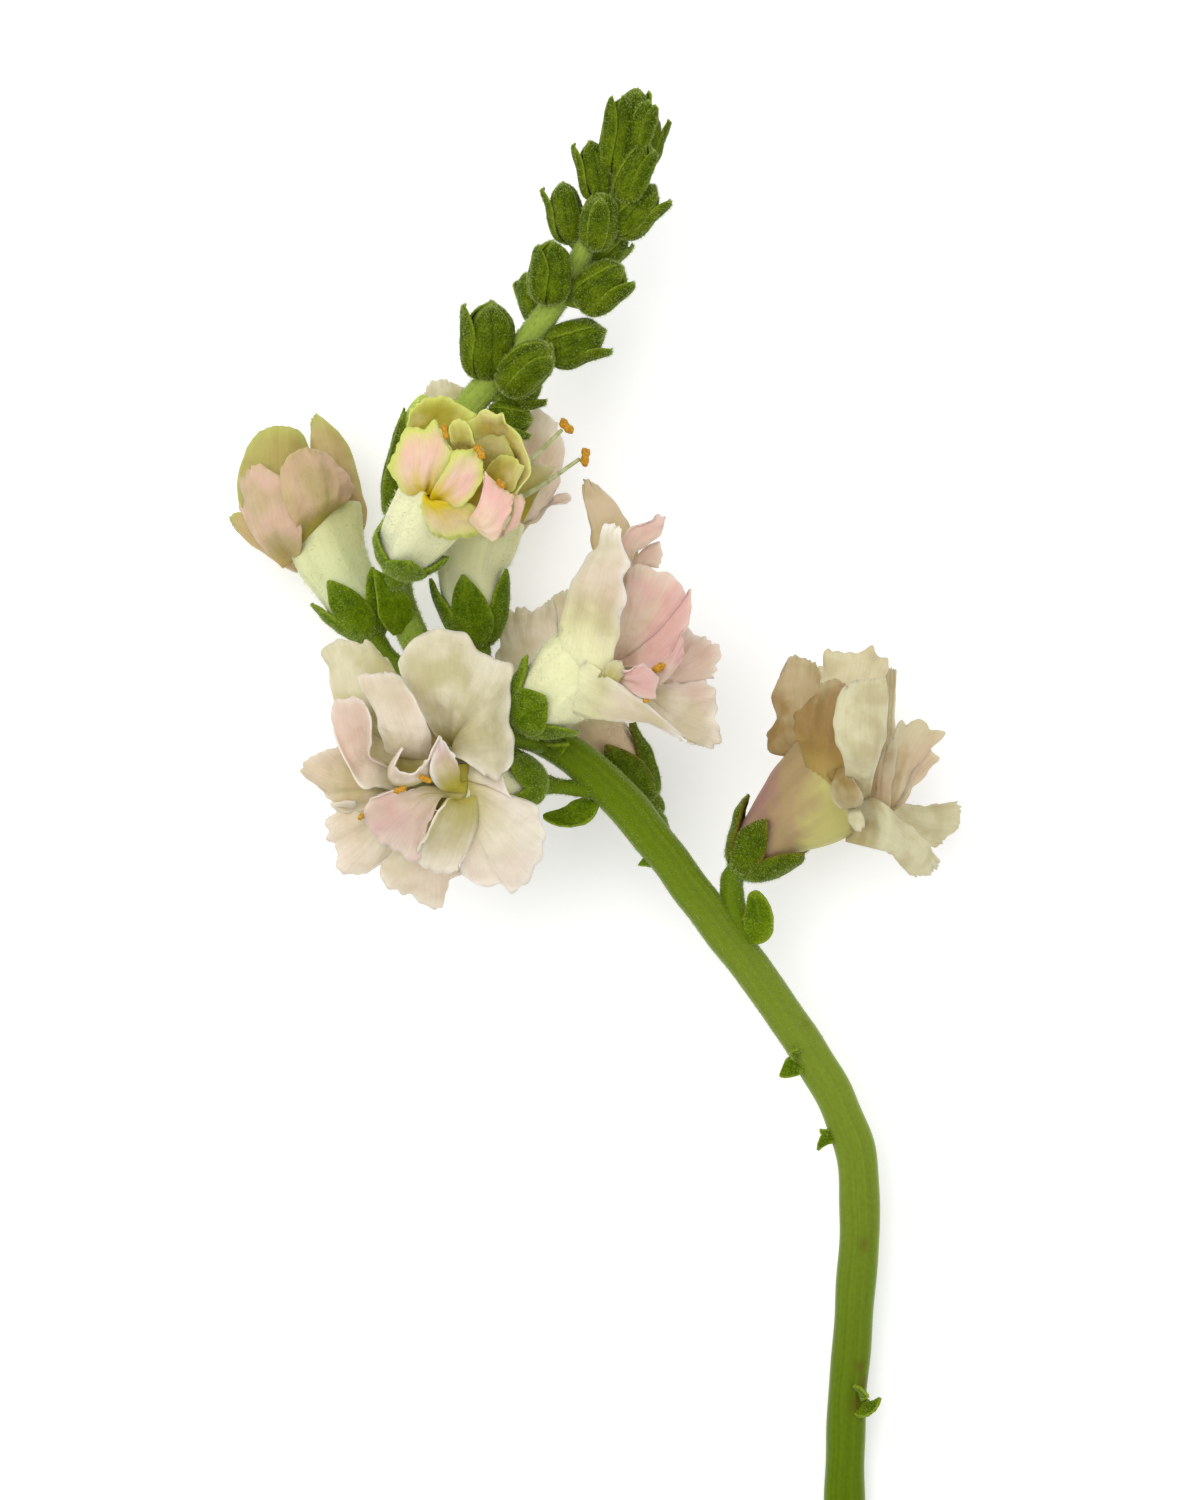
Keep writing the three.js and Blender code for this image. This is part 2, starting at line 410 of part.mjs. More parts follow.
// The short flower stalk of a bud that stands off the main stalk: none for one that sits in it.
function buildBudStalk([foot]) {
  const line = new THREE.CatmullRomCurve3(STALK.map(vector), false, "centripetal");
  const places = line.getPoints(STALK_RINGS);
  const offset = (place) => place.distanceTo(vector(foot));
  const nearest = places.reduce((best, place) => (offset(place) < offset(best) ? place : best));
  if (offset(nearest) < BUD_REACH) {
    return [];
  }
  const stations = [nearest.toArray(), foot].map((point) => [...point, BUD_STALK_RADIUS]);
  return [loft(ringsAlong(stations, BUD_STALK_SIDES, 1))];
}

// A bud: five sepals grown round a pointed heart, with their tips apart.
function buildBud([foot, tip, width]) {
  const length = vector(foot).distanceTo(vector(tip));
  const place = standing(foot, tip, foot[0]);
  const scaled = ([radius, height]) => [(radius * width) / 2, height * length];
  const outside = BUD_OUTLINE.map((point) => lobedRing(scaled(point), 0, BUD_CLEFT, BUD_COLUMNS, place));
  const inside = BUD_HEART.map((point) => lobedRing(scaled(point), 0, 0, BUD_COLUMNS, place));
  return loft([...outside, ...inside]);
}

// A calyx: a cup whose wall is parted into five pointed sepals.
function buildCalyx({ stalk, calyx }) {
  const place = standing(stalk.at(-1), calyx.towards, THREE.MathUtils.degToRad(calyx.turn));
  const lobed = (point) => lobedRing(point, CALYX_GAP + CALYX_FLOOR, CALYX_CLEFT, CALYX_COLUMNS, place);
  const wall = [
    [CALYX_FLOOR_SHARE * calyx.radius, CALYX_GAP + CALYX_FLOOR],
    [calyx.radius, CALYX_WAIST * calyx.length],
    [calyx.opening, calyx.length],
  ];
  const outside = wall.map(([radius, height]) => lobed([radius + SEPAL_THICKNESS, height]));
  const inside = wall.map(lobed).reverse();
  const foot = lobedRing([stalk.at(-1)[3], CALYX_GAP], CALYX_GAP, 0, CALYX_COLUMNS, place);
  return loft([foot, ...outside, ...inside]);
}

// The stations of a tube, from its foot in the calyx to its mouth. It follows the calyx's wall up to the tips.
function tubeStations(bloom) {
  const { stalk, calyx, tube } = bloom;
  const seat = vector(stalk.at(-1));
  const station = (height, radius) => [...seat.clone().addScaledVector(calyxAxis(bloom), height).toArray(), radius];
  const inCalyx = [
    station(TUBE_START, TUBE_FOOT_RADIUS),
    station(CALYX_WAIST * calyx.length, calyx.radius - TUBE_CLEARANCE),
    station(calyx.length, calyx.opening - TUBE_CLEARANCE),
    station(calyx.length + THROAT_LENGTH, calyx.opening - TUBE_CLEARANCE / 2),
  ];
  return [...inCalyx, ...tube];
}

// A petal's foot lies in the body of the tube, on the side that the petal grows to.
function petalFoot(stations, inset, bend) {
  const mouth = vector(stations.at(-1));
  const axis = mouth.clone().sub(vector(stations.at(-2))).normalize();
  const sideways = vector(bend).sub(mouth).projectOnPlane(axis).setLength(inset * stations.at(-1)[3]);
  return mouth.addScaledVector(axis, -ROOT_DEPTH).add(sideways).toArray();
}

// A corolla: the tube, dished at its mouth, with its petals and stamens rooted in it.
function buildCorolla(bloom) {
  const stations = tubeStations(bloom);
  const rings = ringsAlong(stations, TUBE_SIDES, TUBE_RINGS);
  const mouth = vector(stations.at(-1));
  const inward = vector(stations.at(-2)).sub(mouth).setLength(MOUTH_DEPTH);
  const dish = rings.at(-1).map((point) => point.clone().lerp(mouth, 0.5).add(inward));
  const blades = bloom.petals.map(([inset, ...rest]) => {
    const foot = petalFoot(stations, inset, rest[0]);
    return sheet([foot, ...rest], PETAL_THICKNESS, PETAL_CELLS);
  });
  return join([loft([...rings, dish]), ...blades, ...(bloom.stamens ?? []).flatMap(buildStamen)]);
}

function buildStamen([foot, bend, tip]) {
  const stations = [foot, bend, tip].map((point) => [...point, FILAMENT_RADIUS]);
  const filament = loft(ringsAlong(stations, FILAMENT_SIDES, FILAMENT_RINGS));
  const anther = new THREE.SphereGeometry(1, ANTHER_SIDES, ANTHER_ROWS).scale(...ANTHER);
  return [filament, fromGeometry(anther.translate(...tip))];
}

// ---- Solids ------------------------------------------------------------------------------------------------
function vector([x, y, z]) {
  return new THREE.Vector3(x, y, z);
}

function solid(points, triangles) {
  const vertProperties = new Float32Array(points.flatMap((point) => point.toArray()));
  const triVerts = new Uint32Array(triangles.flat());
  return new wasm.Manifold(new wasm.Mesh({ numProp: 3, vertProperties, triVerts }));
}

function fromGeometry(geometry) {
  geometry.deleteAttribute("normal");
  geometry.deleteAttribute("uv");
  const merged = mergeVertices(geometry);
  const vertProperties = new Float32Array(merged.attributes.position.array);
  const triVerts = new Uint32Array(merged.index.array);
  return new wasm.Manifold(new wasm.Mesh({ numProp: 3, vertProperties, triVerts }));
}

function join(solids) {
  return solids.reduce((all, next) => all.add(next));
}

// The largest body of a join: sheets that cross can leave crumbs and sealed pockets behind.
function wholeBody(made) {
  return made.decompose().reduce((best, next) => (next.volume() > best.volume() ? next : best));
}

// Closes up the slivers that a join leaves.
function welded(geometry) {
  const merged = mergeVertices(geometry, WELD);
  const corners = merged.index.array;
  const kept = [];
  for (let i = 0; i < corners.length; i += 3) {
    const triangle = corners.slice(i, i + 3);
    if (new Set(triangle).size === 3) kept.push(...triangle);
  }
  return merged.setIndex(kept);
}

function namedMesh(name, made, material) {
  const { vertProperties, triVerts } = wholeBody(made).getMesh();
  const joined = new THREE.BufferGeometry();
  joined.setAttribute("position", new THREE.BufferAttribute(vertProperties, 3));
  joined.setIndex(new THREE.BufferAttribute(triVerts, 1));
  const geometry = welded(joined);
  geometry.computeVertexNormals();
  const piece = new THREE.Mesh(geometry, material);
  piece.name = name;
  return piece;
}

const MATERIALS = {
  stalk: new THREE.MeshStandardMaterial({ color: 0x6f8f1f, roughness: 0.55, metalness: 0 }),
  calyx: new THREE.MeshStandardMaterial({ color: 0x4c6a1a, roughness: 0.65, metalness: 0 }),
  petal: new THREE.MeshStandardMaterial({ color: 0xe6d3bf, roughness: 0.6, metalness: 0 }),
};

const flower = new THREE.Group();
const bracts = BRACTS.map((bract) => sheet([...bract, POINTED], SEPAL_THICKNESS, BRACT_CELLS));
const buds = [...BUDS.flatMap(buildBudStalk), ...BUDS.map(buildBud)];
const green = join([buildStalk(), ...BLOOMS.map(buildFlowerStalk), ...buds, ...bracts]);
flower.add(namedMesh("stem", green, MATERIALS.stalk));
BLOOMS.forEach((bloom, index) => {
  flower.add(namedMesh(`bloom_${index + 1}_calyx`, buildCalyx(bloom), MATERIALS.calyx));
  flower.add(namedMesh(`bloom_${index + 1}_corolla`, buildCorolla(bloom), MATERIALS.petal));
});
flower.position.fromArray(LAYOUT_SHIFT);

export default flower;
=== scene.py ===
"""The finished look of a cut stem of double snapdragon that lies on a table.

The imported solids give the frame. This script hides the plain ones and puts finer pieces in their place: a ribbed
stalk, a spike of hairy buds, calyces of five sepals, and corollas of thin ruffled petals. Lengths are in
millimetres in the stem's own layout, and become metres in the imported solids' frame when a mesh is made.
"""

import logging  # noqa: E402
import math  # noqa: E402
from collections.abc import Callable, Sequence  # noqa: E402
from dataclasses import dataclass, field, replace  # noqa: E402
from enum import Enum  # noqa: E402

import bpy  # noqa: E402
import numpy as np  # noqa: E402
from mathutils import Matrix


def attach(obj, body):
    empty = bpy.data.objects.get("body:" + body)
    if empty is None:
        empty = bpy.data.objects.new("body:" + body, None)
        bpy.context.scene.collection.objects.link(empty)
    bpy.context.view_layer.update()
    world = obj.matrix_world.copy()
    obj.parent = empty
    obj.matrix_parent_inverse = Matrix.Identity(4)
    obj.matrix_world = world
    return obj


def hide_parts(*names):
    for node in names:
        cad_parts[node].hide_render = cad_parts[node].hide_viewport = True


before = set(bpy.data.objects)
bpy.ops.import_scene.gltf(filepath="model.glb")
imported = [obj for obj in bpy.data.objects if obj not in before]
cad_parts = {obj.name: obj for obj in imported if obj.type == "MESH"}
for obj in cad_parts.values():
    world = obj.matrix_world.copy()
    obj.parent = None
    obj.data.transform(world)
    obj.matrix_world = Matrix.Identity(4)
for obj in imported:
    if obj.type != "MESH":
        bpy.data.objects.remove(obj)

LOG = logging.getLogger("snapdragon")
Piece = bpy.types.Object
Material = bpy.types.Material
Socket = bpy.types.NodeSocket
Array = np.ndarray
Point = tuple[float, float, float]
Edge = tuple[float, ...]  # x, y and z of its points, one after another
Station = tuple[float, float, float, float]  # a point of a middle line, with the radius there
Stations = tuple[Station, ...]
Outline = tuple[tuple[float, float], ...]  # heights and radii of a wall round an axis
Span = tuple[float, float]
Surface = Callable[[Array, Array], Array]
Tints = dict[str, Array]
Tinting = Callable[[Array, Array], Tints]

LAYOUT_SHIFT = np.array([0.8, 13.2, 0.0])  # from the layout to the frame, in millimetres
METRE = 0.001  # one millimetre in metres
SEAM = 2e-6  # points closer than this become one, in metres
TURN = 2.0 * math.pi
ABOVE_FLOOR = 0.3  # lowest height of a petal, in millimetres
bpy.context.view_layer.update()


# ---- Small geometry helpers ----
def unit(vectors: Array) -> Array:
    """Vectors, one or in rows, scaled to length one."""
    length = np.linalg.norm(vectors, axis=-1, keepdims=True)
    return vectors / np.maximum(length, 1e-9)


def soft_step(low: float, high: float, values: Array) -> Array:
    """A smooth rise from 0 at low to 1 at high."""
    share = np.clip((values - low) / (high - low), 0.0, 1.0)
    return share * share * (3.0 - 2.0 * share)


class Ripple:
    """A smooth random wave of one variable, the same in every run."""

    def __init__(self, seed: int, low: float, high: float, count: int = 6) -> None:
        """Draws the parts of the wave.

        Args:
            seed: Start of the random draw.
            low: Fewest periods over the unit length.
            high: Most periods over the unit length.
            count: How many sines are added up.
        """
        draw = np.random.default_rng(seed)
        self.periods = draw.uniform(low, high, count)
        self.phases = draw.uniform(0.0, TURN, count)

    def at(self, place: Array) -> Array:
        """The wave's height at each place, mostly between -1 and 1."""
        angles = TURN * self.periods * np.asarray(place)[..., None] + self.phases
        return np.sin(angles).sum(-1) / math.sqrt(len(self.periods))


class Lumps:
    """A smooth random field in space, the same in every run."""

    def __init__(self, seed: int, size: float, count: int = 8) -> None:
        """Draws the parts of the field.

        Args:
            seed: Start of the random draw.
            size: Typical size of a lump in millimetres.
            count: How many plane waves are added up.
        """
        draw = np.random.default_rng(seed)
        self.waves = unit(draw.normal(size=(count, 3))) * draw.uniform(0.6, 1.4, (count, 1)) * TURN / size
        self.phases = draw.uniform(0.0, TURN, count)

    def at(self, points: Array) -> Array:
        """The field at each point, mostly between -1 and 1."""
        return np.sin(points @ self.waves.T + self.phases).sum(-1) / math.sqrt(len(self.phases))


class Thread:
    """A smooth line through given points."""

    def __init__(self, points: Sequence[Sequence[float]]) -> None:
        """Sets up the line.

        Args:
            points: Points in order, as rows of three or more numbers; numbers past the third, such as a
                radius, are carried along.
        """
        self.points = np.array(points, float)
        gaps = np.linalg.norm(np.diff(self.points[:, :3], axis=0), axis=1) ** 0.5
        self.knots = np.concatenate([[0.0], np.cumsum(np.maximum(gaps, 1e-6))])
        self.knots /= self.knots[-1]
        slopes = np.empty_like(self.points)
        steps = np.diff(self.knots)[:, None]
        legs = np.diff(self.points, axis=0) / steps
        slopes[0], slopes[-1] = legs[0], legs[-1]
        if len(self.points) > 2:
            slopes[1:-1] = (legs[:-1] * steps[1:] + legs[1:] * steps[:-1]) / (steps[1:] + steps[:-1])
        self.slopes = slopes

    def at(self, share: Array) -> Array:
        """Points of the line.

        Args:
            share: Shares of the line, from 0 at its start to 1 at its end.

        Returns:
            The points, as rows.
        """
        share = np.clip(np.asarray(share, float), 0.0, 1.0)
        low = np.clip(np.searchsorted(self.knots, share, side="right") - 1, 0, len(self.knots) - 2)
        step = self.knots[low + 1] - self.knots[low]
        t = ((share - self.knots[low]) / step)[..., None]
        step = step[..., None]
        start, end = self.points[low], self.points[low + 1]
        leaving, arriving = self.slopes[low] * step, self.slopes[low + 1] * step
        square, cube = t * t, t * t * t
        return (
            (2 * cube - 3 * square + 1) * start
            + (cube - 2 * square + t) * leaving
            + (3 * square - 2 * cube) * end
            + (cube - square) * arriving
        )


def upright(foot: Sequence[float], tip: Sequence[float], turn: float) -> Callable[[Array], Array]:
    """A placement with its z axis from foot towards tip.

    Args:
        foot: Where the placement's origin goes.
        tip: What its z axis points to.
        turn: Turn about that axis, in radians.

    Returns:
        A function that takes rows of local points to their place.
    """
    origin = np.array(foot, float)
    along = unit(np.array(tip, float) - origin)
    cross = np.array([-along[1], along[0], 0.0])
    sine, cosine = np.linalg.norm(cross), along[2]
    matrix = np.eye(3)
    if sine > 1e-9:
        axis = cross / sine
        skew = np.array([[0, -axis[2], axis[1]], [axis[2], 0, -axis[0]], [-axis[1], axis[0], 0]])
        matrix = np.eye(3) + sine * skew + (1 - cosine) * skew @ skew
    about = np.array([[math.cos(turn), -math.sin(turn), 0], [math.sin(turn), math.cos(turn), 0], [0, 0, 1]])
    placing = matrix @ about
    return lambda local: local @ placing.T + origin


def around(radius: Array, angle: Array, height: Array) -> Array:
    """Rows of points from their radius, angle and height."""
    return np.stack([radius * np.cos(angle), radius * np.sin(angle), height + 0 * angle], axis=-1)


# ---- Making meshes ----
def deselect() -> None:
    """Deselects every object, so that an operator acts on the new piece alone."""
    for thing in bpy.context.selected_objects:
        thing.select_set(False)


def make_active(piece: Piece) -> None:
    """Selects one piece alone and makes it the active one.

    Args:
        piece: The piece.
    """
    deselect()
    piece.select_set(True)
    bpy.context.view_layer.objects.active = piece


def added(name: str) -> Piece:
    """Names the primitive that was just added.

    Args:
        name: Its name.

    Returns:
        The primitive.
    """
    piece = bpy.context.active_object
    piece.name = piece.data.name = name
    return piece


def smoothed(piece: Piece) -> Piece:
    """Shades a piece smooth.

    Args:
        piece: The piece.

    Returns:
        The same piece.
    """
    make_active(piece)
    bpy.ops.object.shade_smooth()
    return piece


def to_frame(points: Array) -> Array:
    """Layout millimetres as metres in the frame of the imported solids."""
    return (points + LAYOUT_SHIFT) * METRE


def corners_of(piece: Piece) -> Array:
    """The corners of a piece's mesh.

    Args:
        piece: The piece.

    Returns:
        The corners, as rows.
    """
    flat = np.empty(len(piece.data.vertices) * 3)
    piece.data.vertices.foreach_get("co", flat)
    return flat.reshape(-1, 3)


def shape(piece: Piece, points: Array) -> None:
    """Moves the corners of a piece's mesh to points of the layout."""
    piece.data.vertices.foreach_set("co", to_frame(points).astype(np.float32).ravel())


@dataclass
class Skin:
    """A surface over a grid, with u from 0 to 1 along it and v from -1 to 1 across it."""

    surface: Surface  # gives the points at u and v, in layout millimetres
    cells: tuple[int, int]  # cells along u and across v
    thickness: float = 0.0  # wall thickness in millimetres; 0 for a body that is closed by itself
    tints: Tinting = field(default=lambda u, v: {})  # values at u and v that the material reads
    wrapped: bool = False  # True where v = -1 and v = 1 meet, so that the seam is closed

    def build(self, name: str) -> Piece:
        """Shapes a grid to the surface.

        Args:
            name: The new object's name.

        Returns:
            The finished object.
        """
        rows, columns = self.cells
        deselect()
        bpy.ops.mesh.primitive_grid_add(x_subdivisions=columns, y_subdivisions=rows, size=2.0)
        piece = added(name)
        flat = corners_of(piece)
        u, v = np.clip((flat[:, 1] + 1.0) / 2.0, 0.0, 1.0), np.clip(flat[:, 0], -1.0, 1.0)
        shape(piece, self.surface(u, v))
        for tint, values in self.tints(u, v).items():
            layer = piece.data.attributes.new(tint, "FLOAT", "POINT")
            layer.data.foreach_set("value", (values + 0 * u).astype(np.float32))
        if self.wrapped:
            bpy.ops.object.mode_set(mode="EDIT")
            bpy.ops.mesh.select_all(action="SELECT")
            bpy.ops.mesh.remove_doubles(threshold=SEAM)
            bpy.ops.mesh.normals_make_consistent(inside=False)
            bpy.ops.object.mode_set(mode="OBJECT")
        if self.thickness:
            wall = piece.modifiers.new("wall", "SOLIDIFY")
            wall.thickness = self.thickness * METRE
            wall.offset = 0.0
            make_active(piece)
            bpy.ops.object.modifier_apply(modifier=wall.name)
        return smoothed(piece)

    def roots(self, count: int, seed: int, reach: Span) -> tuple[Array, Array, Array]:
        """Random places on the surface, as for hairs.

        Args:
            count: How many places.
            seed: Start of the random draw.
            reach: Lowest and highest u.

        Returns:
            The points, the surface's normals there, and its directions along u.
        """
        draw = np.random.default_rng(seed)
        u, v = draw.uniform(*reach, count), draw.uniform(-0.98, 0.98, count)
        step = 0.01
        here = self.surface(u, v)
        along = self.surface(np.minimum(u + step, 1.0), v) - self.surface(np.maximum(u - step, 0.0), v)
        across = self.surface(u, np.minimum(v + step, 1.0)) - self.surface(u, np.maximum(v - step, -1.0))
        return here, unit(np.cross(across, along)), unit(along)


def joined(name: str, pieces: Sequence[Piece]) -> Piece:
    """Joins pieces into one object.

    Args:
        name: The name of the joined piece.
        pieces: The pieces; the first one stays and takes in the others.

    Returns:
        The joined piece.
    """
    whole = pieces[0]
    make_active(whole)
    for piece in pieces[1:]:
        piece.select_set(True)
    if len(pieces) > 1:
        bpy.ops.object.join()
    whole.name = whole.data.name = name
    return whole


class Slot(Enum):
    """The record's material slots."""

    STALK = "stalk"
    CALYX = "calyx"
    PETAL = "petal"


def dress(piece: Piece, material: Material, slot: Slot, *nodes: str) -> Piece:
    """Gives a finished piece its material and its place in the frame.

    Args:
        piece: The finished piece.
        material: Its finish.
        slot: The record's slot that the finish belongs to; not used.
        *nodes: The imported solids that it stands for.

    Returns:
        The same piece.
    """
    piece.data.materials.clear()
    piece.data.materials.append(material)
    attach(piece, "root")
    if nodes:
        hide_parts(*nodes)
    LOG.info("%s: %d faces", piece.name, len(piece.data.polygons))
    return piece


# ---- Finishes ----
Colour = tuple[int, int, int]  # as the eye reads it, 0 to 255
DOWNY = 0.35  # roughness of the pale sheen that fine down gives to the sides of a body


def linear(paint: Colour) -> tuple[float, float, float, float]:
    """A colour in linear light, as the shader takes it."""
    shares = [value / 255.0 for value in paint]
    return (*(share / 12.92 if share <= 0.04045 else ((share + 0.055) / 1.055) ** 2.4 for share in shares), 1.0)


class Recipe:
    """A material's node tree, built up step by step."""

    def __init__(self, name: str) -> None:
        """Starts a material with an empty tree and a Principled shader.

        Args:
            name: The material's name.
        """
        self.material = bpy.data.materials.new(name)
        self.material.use_nodes = True
        self.tree = self.material.node_tree
        self.tree.nodes.clear()
        self.shader = self.tree.nodes.new("ShaderNodeBsdfPrincipled")
        output = self.tree.nodes.new("ShaderNodeOutputMaterial")
        self.join(self.shader.outputs["BSDF"], output.inputs["Surface"])
        self.coordinates = self.tree.nodes.new("ShaderNodeTexCoord")

    def join(self, source: Socket, target: Socket) -> None:
        """Links one socket to another."""
        self.tree.links.new(source, target)

    def put(self, target: Socket, value: object) -> None:
        """Links a socket, or sets it to a plain value.

        Args:
            target: The socket.
            value: A socket to link it to, a number or a colour.
        """
        if isinstance(value, bpy.types.NodeSocket):
            self.join(value, target)
        else:
            target.default_value = linear(value) if target.type == "RGBA" else value

    def tint(self, name: str) -> Socket:
        """The value of a tint that the mesh carries.

        Args:
            name: The tint's name.

        Returns:
            Its value.
        """
        node = self.tree.nodes.new("ShaderNodeAttribute")
        node.attribute_name = name
        return node.outputs["Fac"]

    def blend(self, share: object, first: object, second: object) -> Socket:
        """A mix of two colours.

        Args:
            share: How much of the second one.
            first: The first colour.
            second: The second colour.

        Returns:
            The mix.
        """
        node = self.tree.nodes.new("ShaderNodeMix")
        node.data_type = "RGBA"
        for socket, value in zip((node.inputs[0], node.inputs[6], node.inputs[7]), (share, first, second)):
            self.put(socket, value)
        return node.outputs[2]

    def coats(self, base: object, *coats: tuple[object, Colour]) -> Socket:
        """A colour with other colours laid over it in turn.

        Args:
            base: The colour underneath.
            *coats: Each coat's share and colour.

        Returns:
            The colour on top.
        """
        for share, paint in coats:
            base = self.blend(share, base, paint)
        return base

    def lit(self, base: Socket, lightness: Socket) -> Socket:
        """A colour made lighter and darker by a pattern.

        Args:
            base: The colour.
            lightness: The pattern; 1 leaves the colour as it is.

        Returns:
            The colour with the pattern.
        """
        product = self.blend(1.0, base, lightness)
        product.node.blend_type = "MULTIPLY"
        return product

    def sum(self, first: object, second: object, kind: str = "ADD", clamp: bool = False) -> Socket:
        """Arithmetic on two numbers.

        Args:
            first: The first number.
            second: The second number.
            kind: The operation.
            clamp: Whether the result is kept between 0 and 1.

        Returns:
            The result.
        """
        node = self.tree.nodes.new("ShaderNodeMath")
        node.operation = kind
        node.use_clamp = clamp
        self.put(node.inputs[0], first)
        self.put(node.inputs[1], second)
        return node.outputs[0]

    def spread(self, value: object, low: float, high: float, start: float = 0.0, end: float = 1.0) -> Socket:
        """A number moved smoothly from one range to another.

        Args:
            value: The number.
            low: Low end of its range.
            high: High end of its range.
            start: What the low end becomes.
            end: What the high end becomes.

        Returns:
            The new number.
        """
        node = self.tree.nodes.new("ShaderNodeMapRange")
        node.interpolation_type = "SMOOTHSTEP"
        for socket, number in zip(node.inputs[:5], (value, low, high, start, end)):
            self.put(socket, number)
        return node.outputs[0]

    def noise(self, scale: float, detail: float = 3.0) -> Socket:
        """A noise pattern in space, with so many lumps over a metre and so many finer layers."""
        return self.pattern("Object", (1.0, 1.0, 1.0), scale, detail)

    def streaks(self, across: float, along: float, detail: float = 3.0) -> Socket:
        """A noise pattern on the surface's own grid, drawn out along it."""
        return self.pattern("UV", (across, along, 1.0), 1.0, detail)

    def pattern(self, source: str, stretch: Point, scale: float, detail: float) -> Socket:
        """A noise pattern on the piece's own coordinates.

        Args:
            source: "Object" or "UV".
            stretch: Scale along each axis, for streaks.
            scale: Lumps over one unit of the coordinates.
            detail: How many finer layers it has.

        Returns:
            The pattern's value.
        """
        mapping = self.tree.nodes.new("ShaderNodeMapping")
        self.join(self.coordinates.outputs[source], mapping.inputs["Vector"])
        mapping.inputs["Scale"].default_value = stretch
        node = self.tree.nodes.new("ShaderNodeTexNoise")
        self.join(mapping.outputs[0], node.inputs["Vector"])
        node.inputs["Scale"].default_value = scale
        node.inputs["Detail"].default_value = detail
        return node.outputs[0]

    def relief(self, *layers: tuple[Socket, float, float]) -> Socket:
        """A relief of several layers.

        Args:
            *layers: Each layer's pattern, strength and depth in metres.

        Returns:
            The surface's normal.
        """
        under = None
        for height, strength, distance in layers:
            node = self.tree.nodes.new("ShaderNodeBump")
            node.inputs["Strength"].default_value = strength
            node.inputs["Distance"].default_value = distance
            self.join(height, node.inputs["Height"])
            if under is not None:
                self.join(under, node.inputs["Normal"])
            under = node.outputs[0]
        return under

    def finish(self, **sockets: object) -> Material:
        """Sets the shader's sockets.

        Args:
            **sockets: What goes on each socket, by the socket's name with low lines for its spaces.

        Returns:
            The finished material.
        """
        for name, value in sockets.items():
            self.put(self.shader.inputs[name.replace("_", " ")], value)
        return self.material


@dataclass(frozen=True)
class PetalFinish:
    """The finish of thin petals: tinted in soft patches, faintly veined and crinkled, a little see-through.

    Their shade colour is partly painted shade, and their rim colour partly a painted highlight.
    """

    name: str  # the material's name
    body: Colour  # the pale ground colour
    shade: Colour  # deeper greener colour: partly olive tint, partly painted shade of folds, foot and shaded petals
    blush: Colour  # the pink flush
    throat: Colour  # the colour near the throat
    rim: Colour  # the colour of the very edge: partly a pale margin, partly a painted highlight of the thin lit edge
    foot: Colour  # the colour where the petal grows out of the tube

    def make(self) -> Material:
        """Builds the material.

        Returns:
            The material.
        """
        recipe = Recipe(self.name)
        clouds, patches = recipe.noise(150.0), recipe.noise(85.0, 2.0)
        veins, fine = recipe.streaks(34.0, 2.6, 4.0), recipe.streaks(110.0, 6.0)
        # The shade tint with random clouds: how far painted shade, with the petal's olive tint, darkens the body
        # colour.
        depth = recipe.sum(recipe.tint("shade"), recipe.spread(clouds, 0.34, 0.66, -0.25, 0.3), "ADD", True)
        flush = recipe.sum(recipe.tint("blush"), recipe.spread(patches, 0.36, 0.64, 0.45, 1.25), "MULTIPLY", True)
        marks = [(recipe.tint(name), getattr(self, name)) for name in ("throat", "rim", "foot")]
        base = recipe.coats(self.body, (depth, self.shade), (flush, self.blush), *marks)
        veined, grained = recipe.spread(veins, 0.3, 0.7, 0.96, 1.03), recipe.spread(fine, 0.3, 0.7, 0.98, 1.02)
        relief = recipe.relief((recipe.noise(330.0, 5.0), 0.5, 0.0009), (recipe.noise(760.0), 0.25, 0.0004),
                               (veins, 0.12, 0.00016), (fine, 0.2, 0.00005),
                               (recipe.noise(3800.0, 2.0), 0.35, 0.00006))
        return recipe.finish(
            Base_Color=recipe.lit(base, recipe.sum(veined, grained, "MULTIPLY")), Normal=relief,
            Roughness=recipe.spread(clouds, 0.3, 0.7, 0.48, 0.62), Specular_IOR_Level=0.2,
            Subsurface_Weight=0.35, Subsurface_Radius=(1.0, 0.85, 0.7), Subsurface_Scale=0.0012,
            Sheen_Weight=0.08, Sheen_Roughness=DOWNY, Sheen_Tint=(250, 240, 228))


@dataclass(frozen=True)
class TubeFinish:
    """The finish of a corolla's tube: pale, softly ribbed and downy."""

    name: str  # the material's name
    low: Colour  # the colour next to the calyx
    body: Colour  # the colour half way up
    high: Colour  # the colour at the mouth
    inside: Colour  # the colour of the throat

    def make(self) -> Material:
        """Builds the material.

        Returns:
            The material.
        """
        recipe = Recipe(self.name)
        ribs = recipe.streaks(24.0, 1.6)
        along = recipe.sum(recipe.tint("along"), recipe.spread(recipe.noise(190.0, 2.0), 0.3, 0.7, -0.09, 0.09))
        base = recipe.coats(self.low, (recipe.spread(along, 0.22, 0.52), self.body),
                            (recipe.spread(along, 0.66, 0.95), self.high), (recipe.tint("throat"), self.inside))
        return recipe.finish(
            Base_Color=recipe.lit(base, recipe.spread(ribs, 0.3, 0.7, 0.93, 1.05)),
            Normal=recipe.relief((ribs, 0.2, 0.0002), (recipe.noise(2600.0), 0.4, 0.00012)),
            Roughness=0.6, Specular_IOR_Level=0.25,
            Subsurface_Weight=0.3, Subsurface_Radius=(1.0, 0.9, 0.55), Subsurface_Scale=0.0015,
            Sheen_Weight=0.25, Sheen_Roughness=DOWNY, Sheen_Tint=(240, 242, 214))


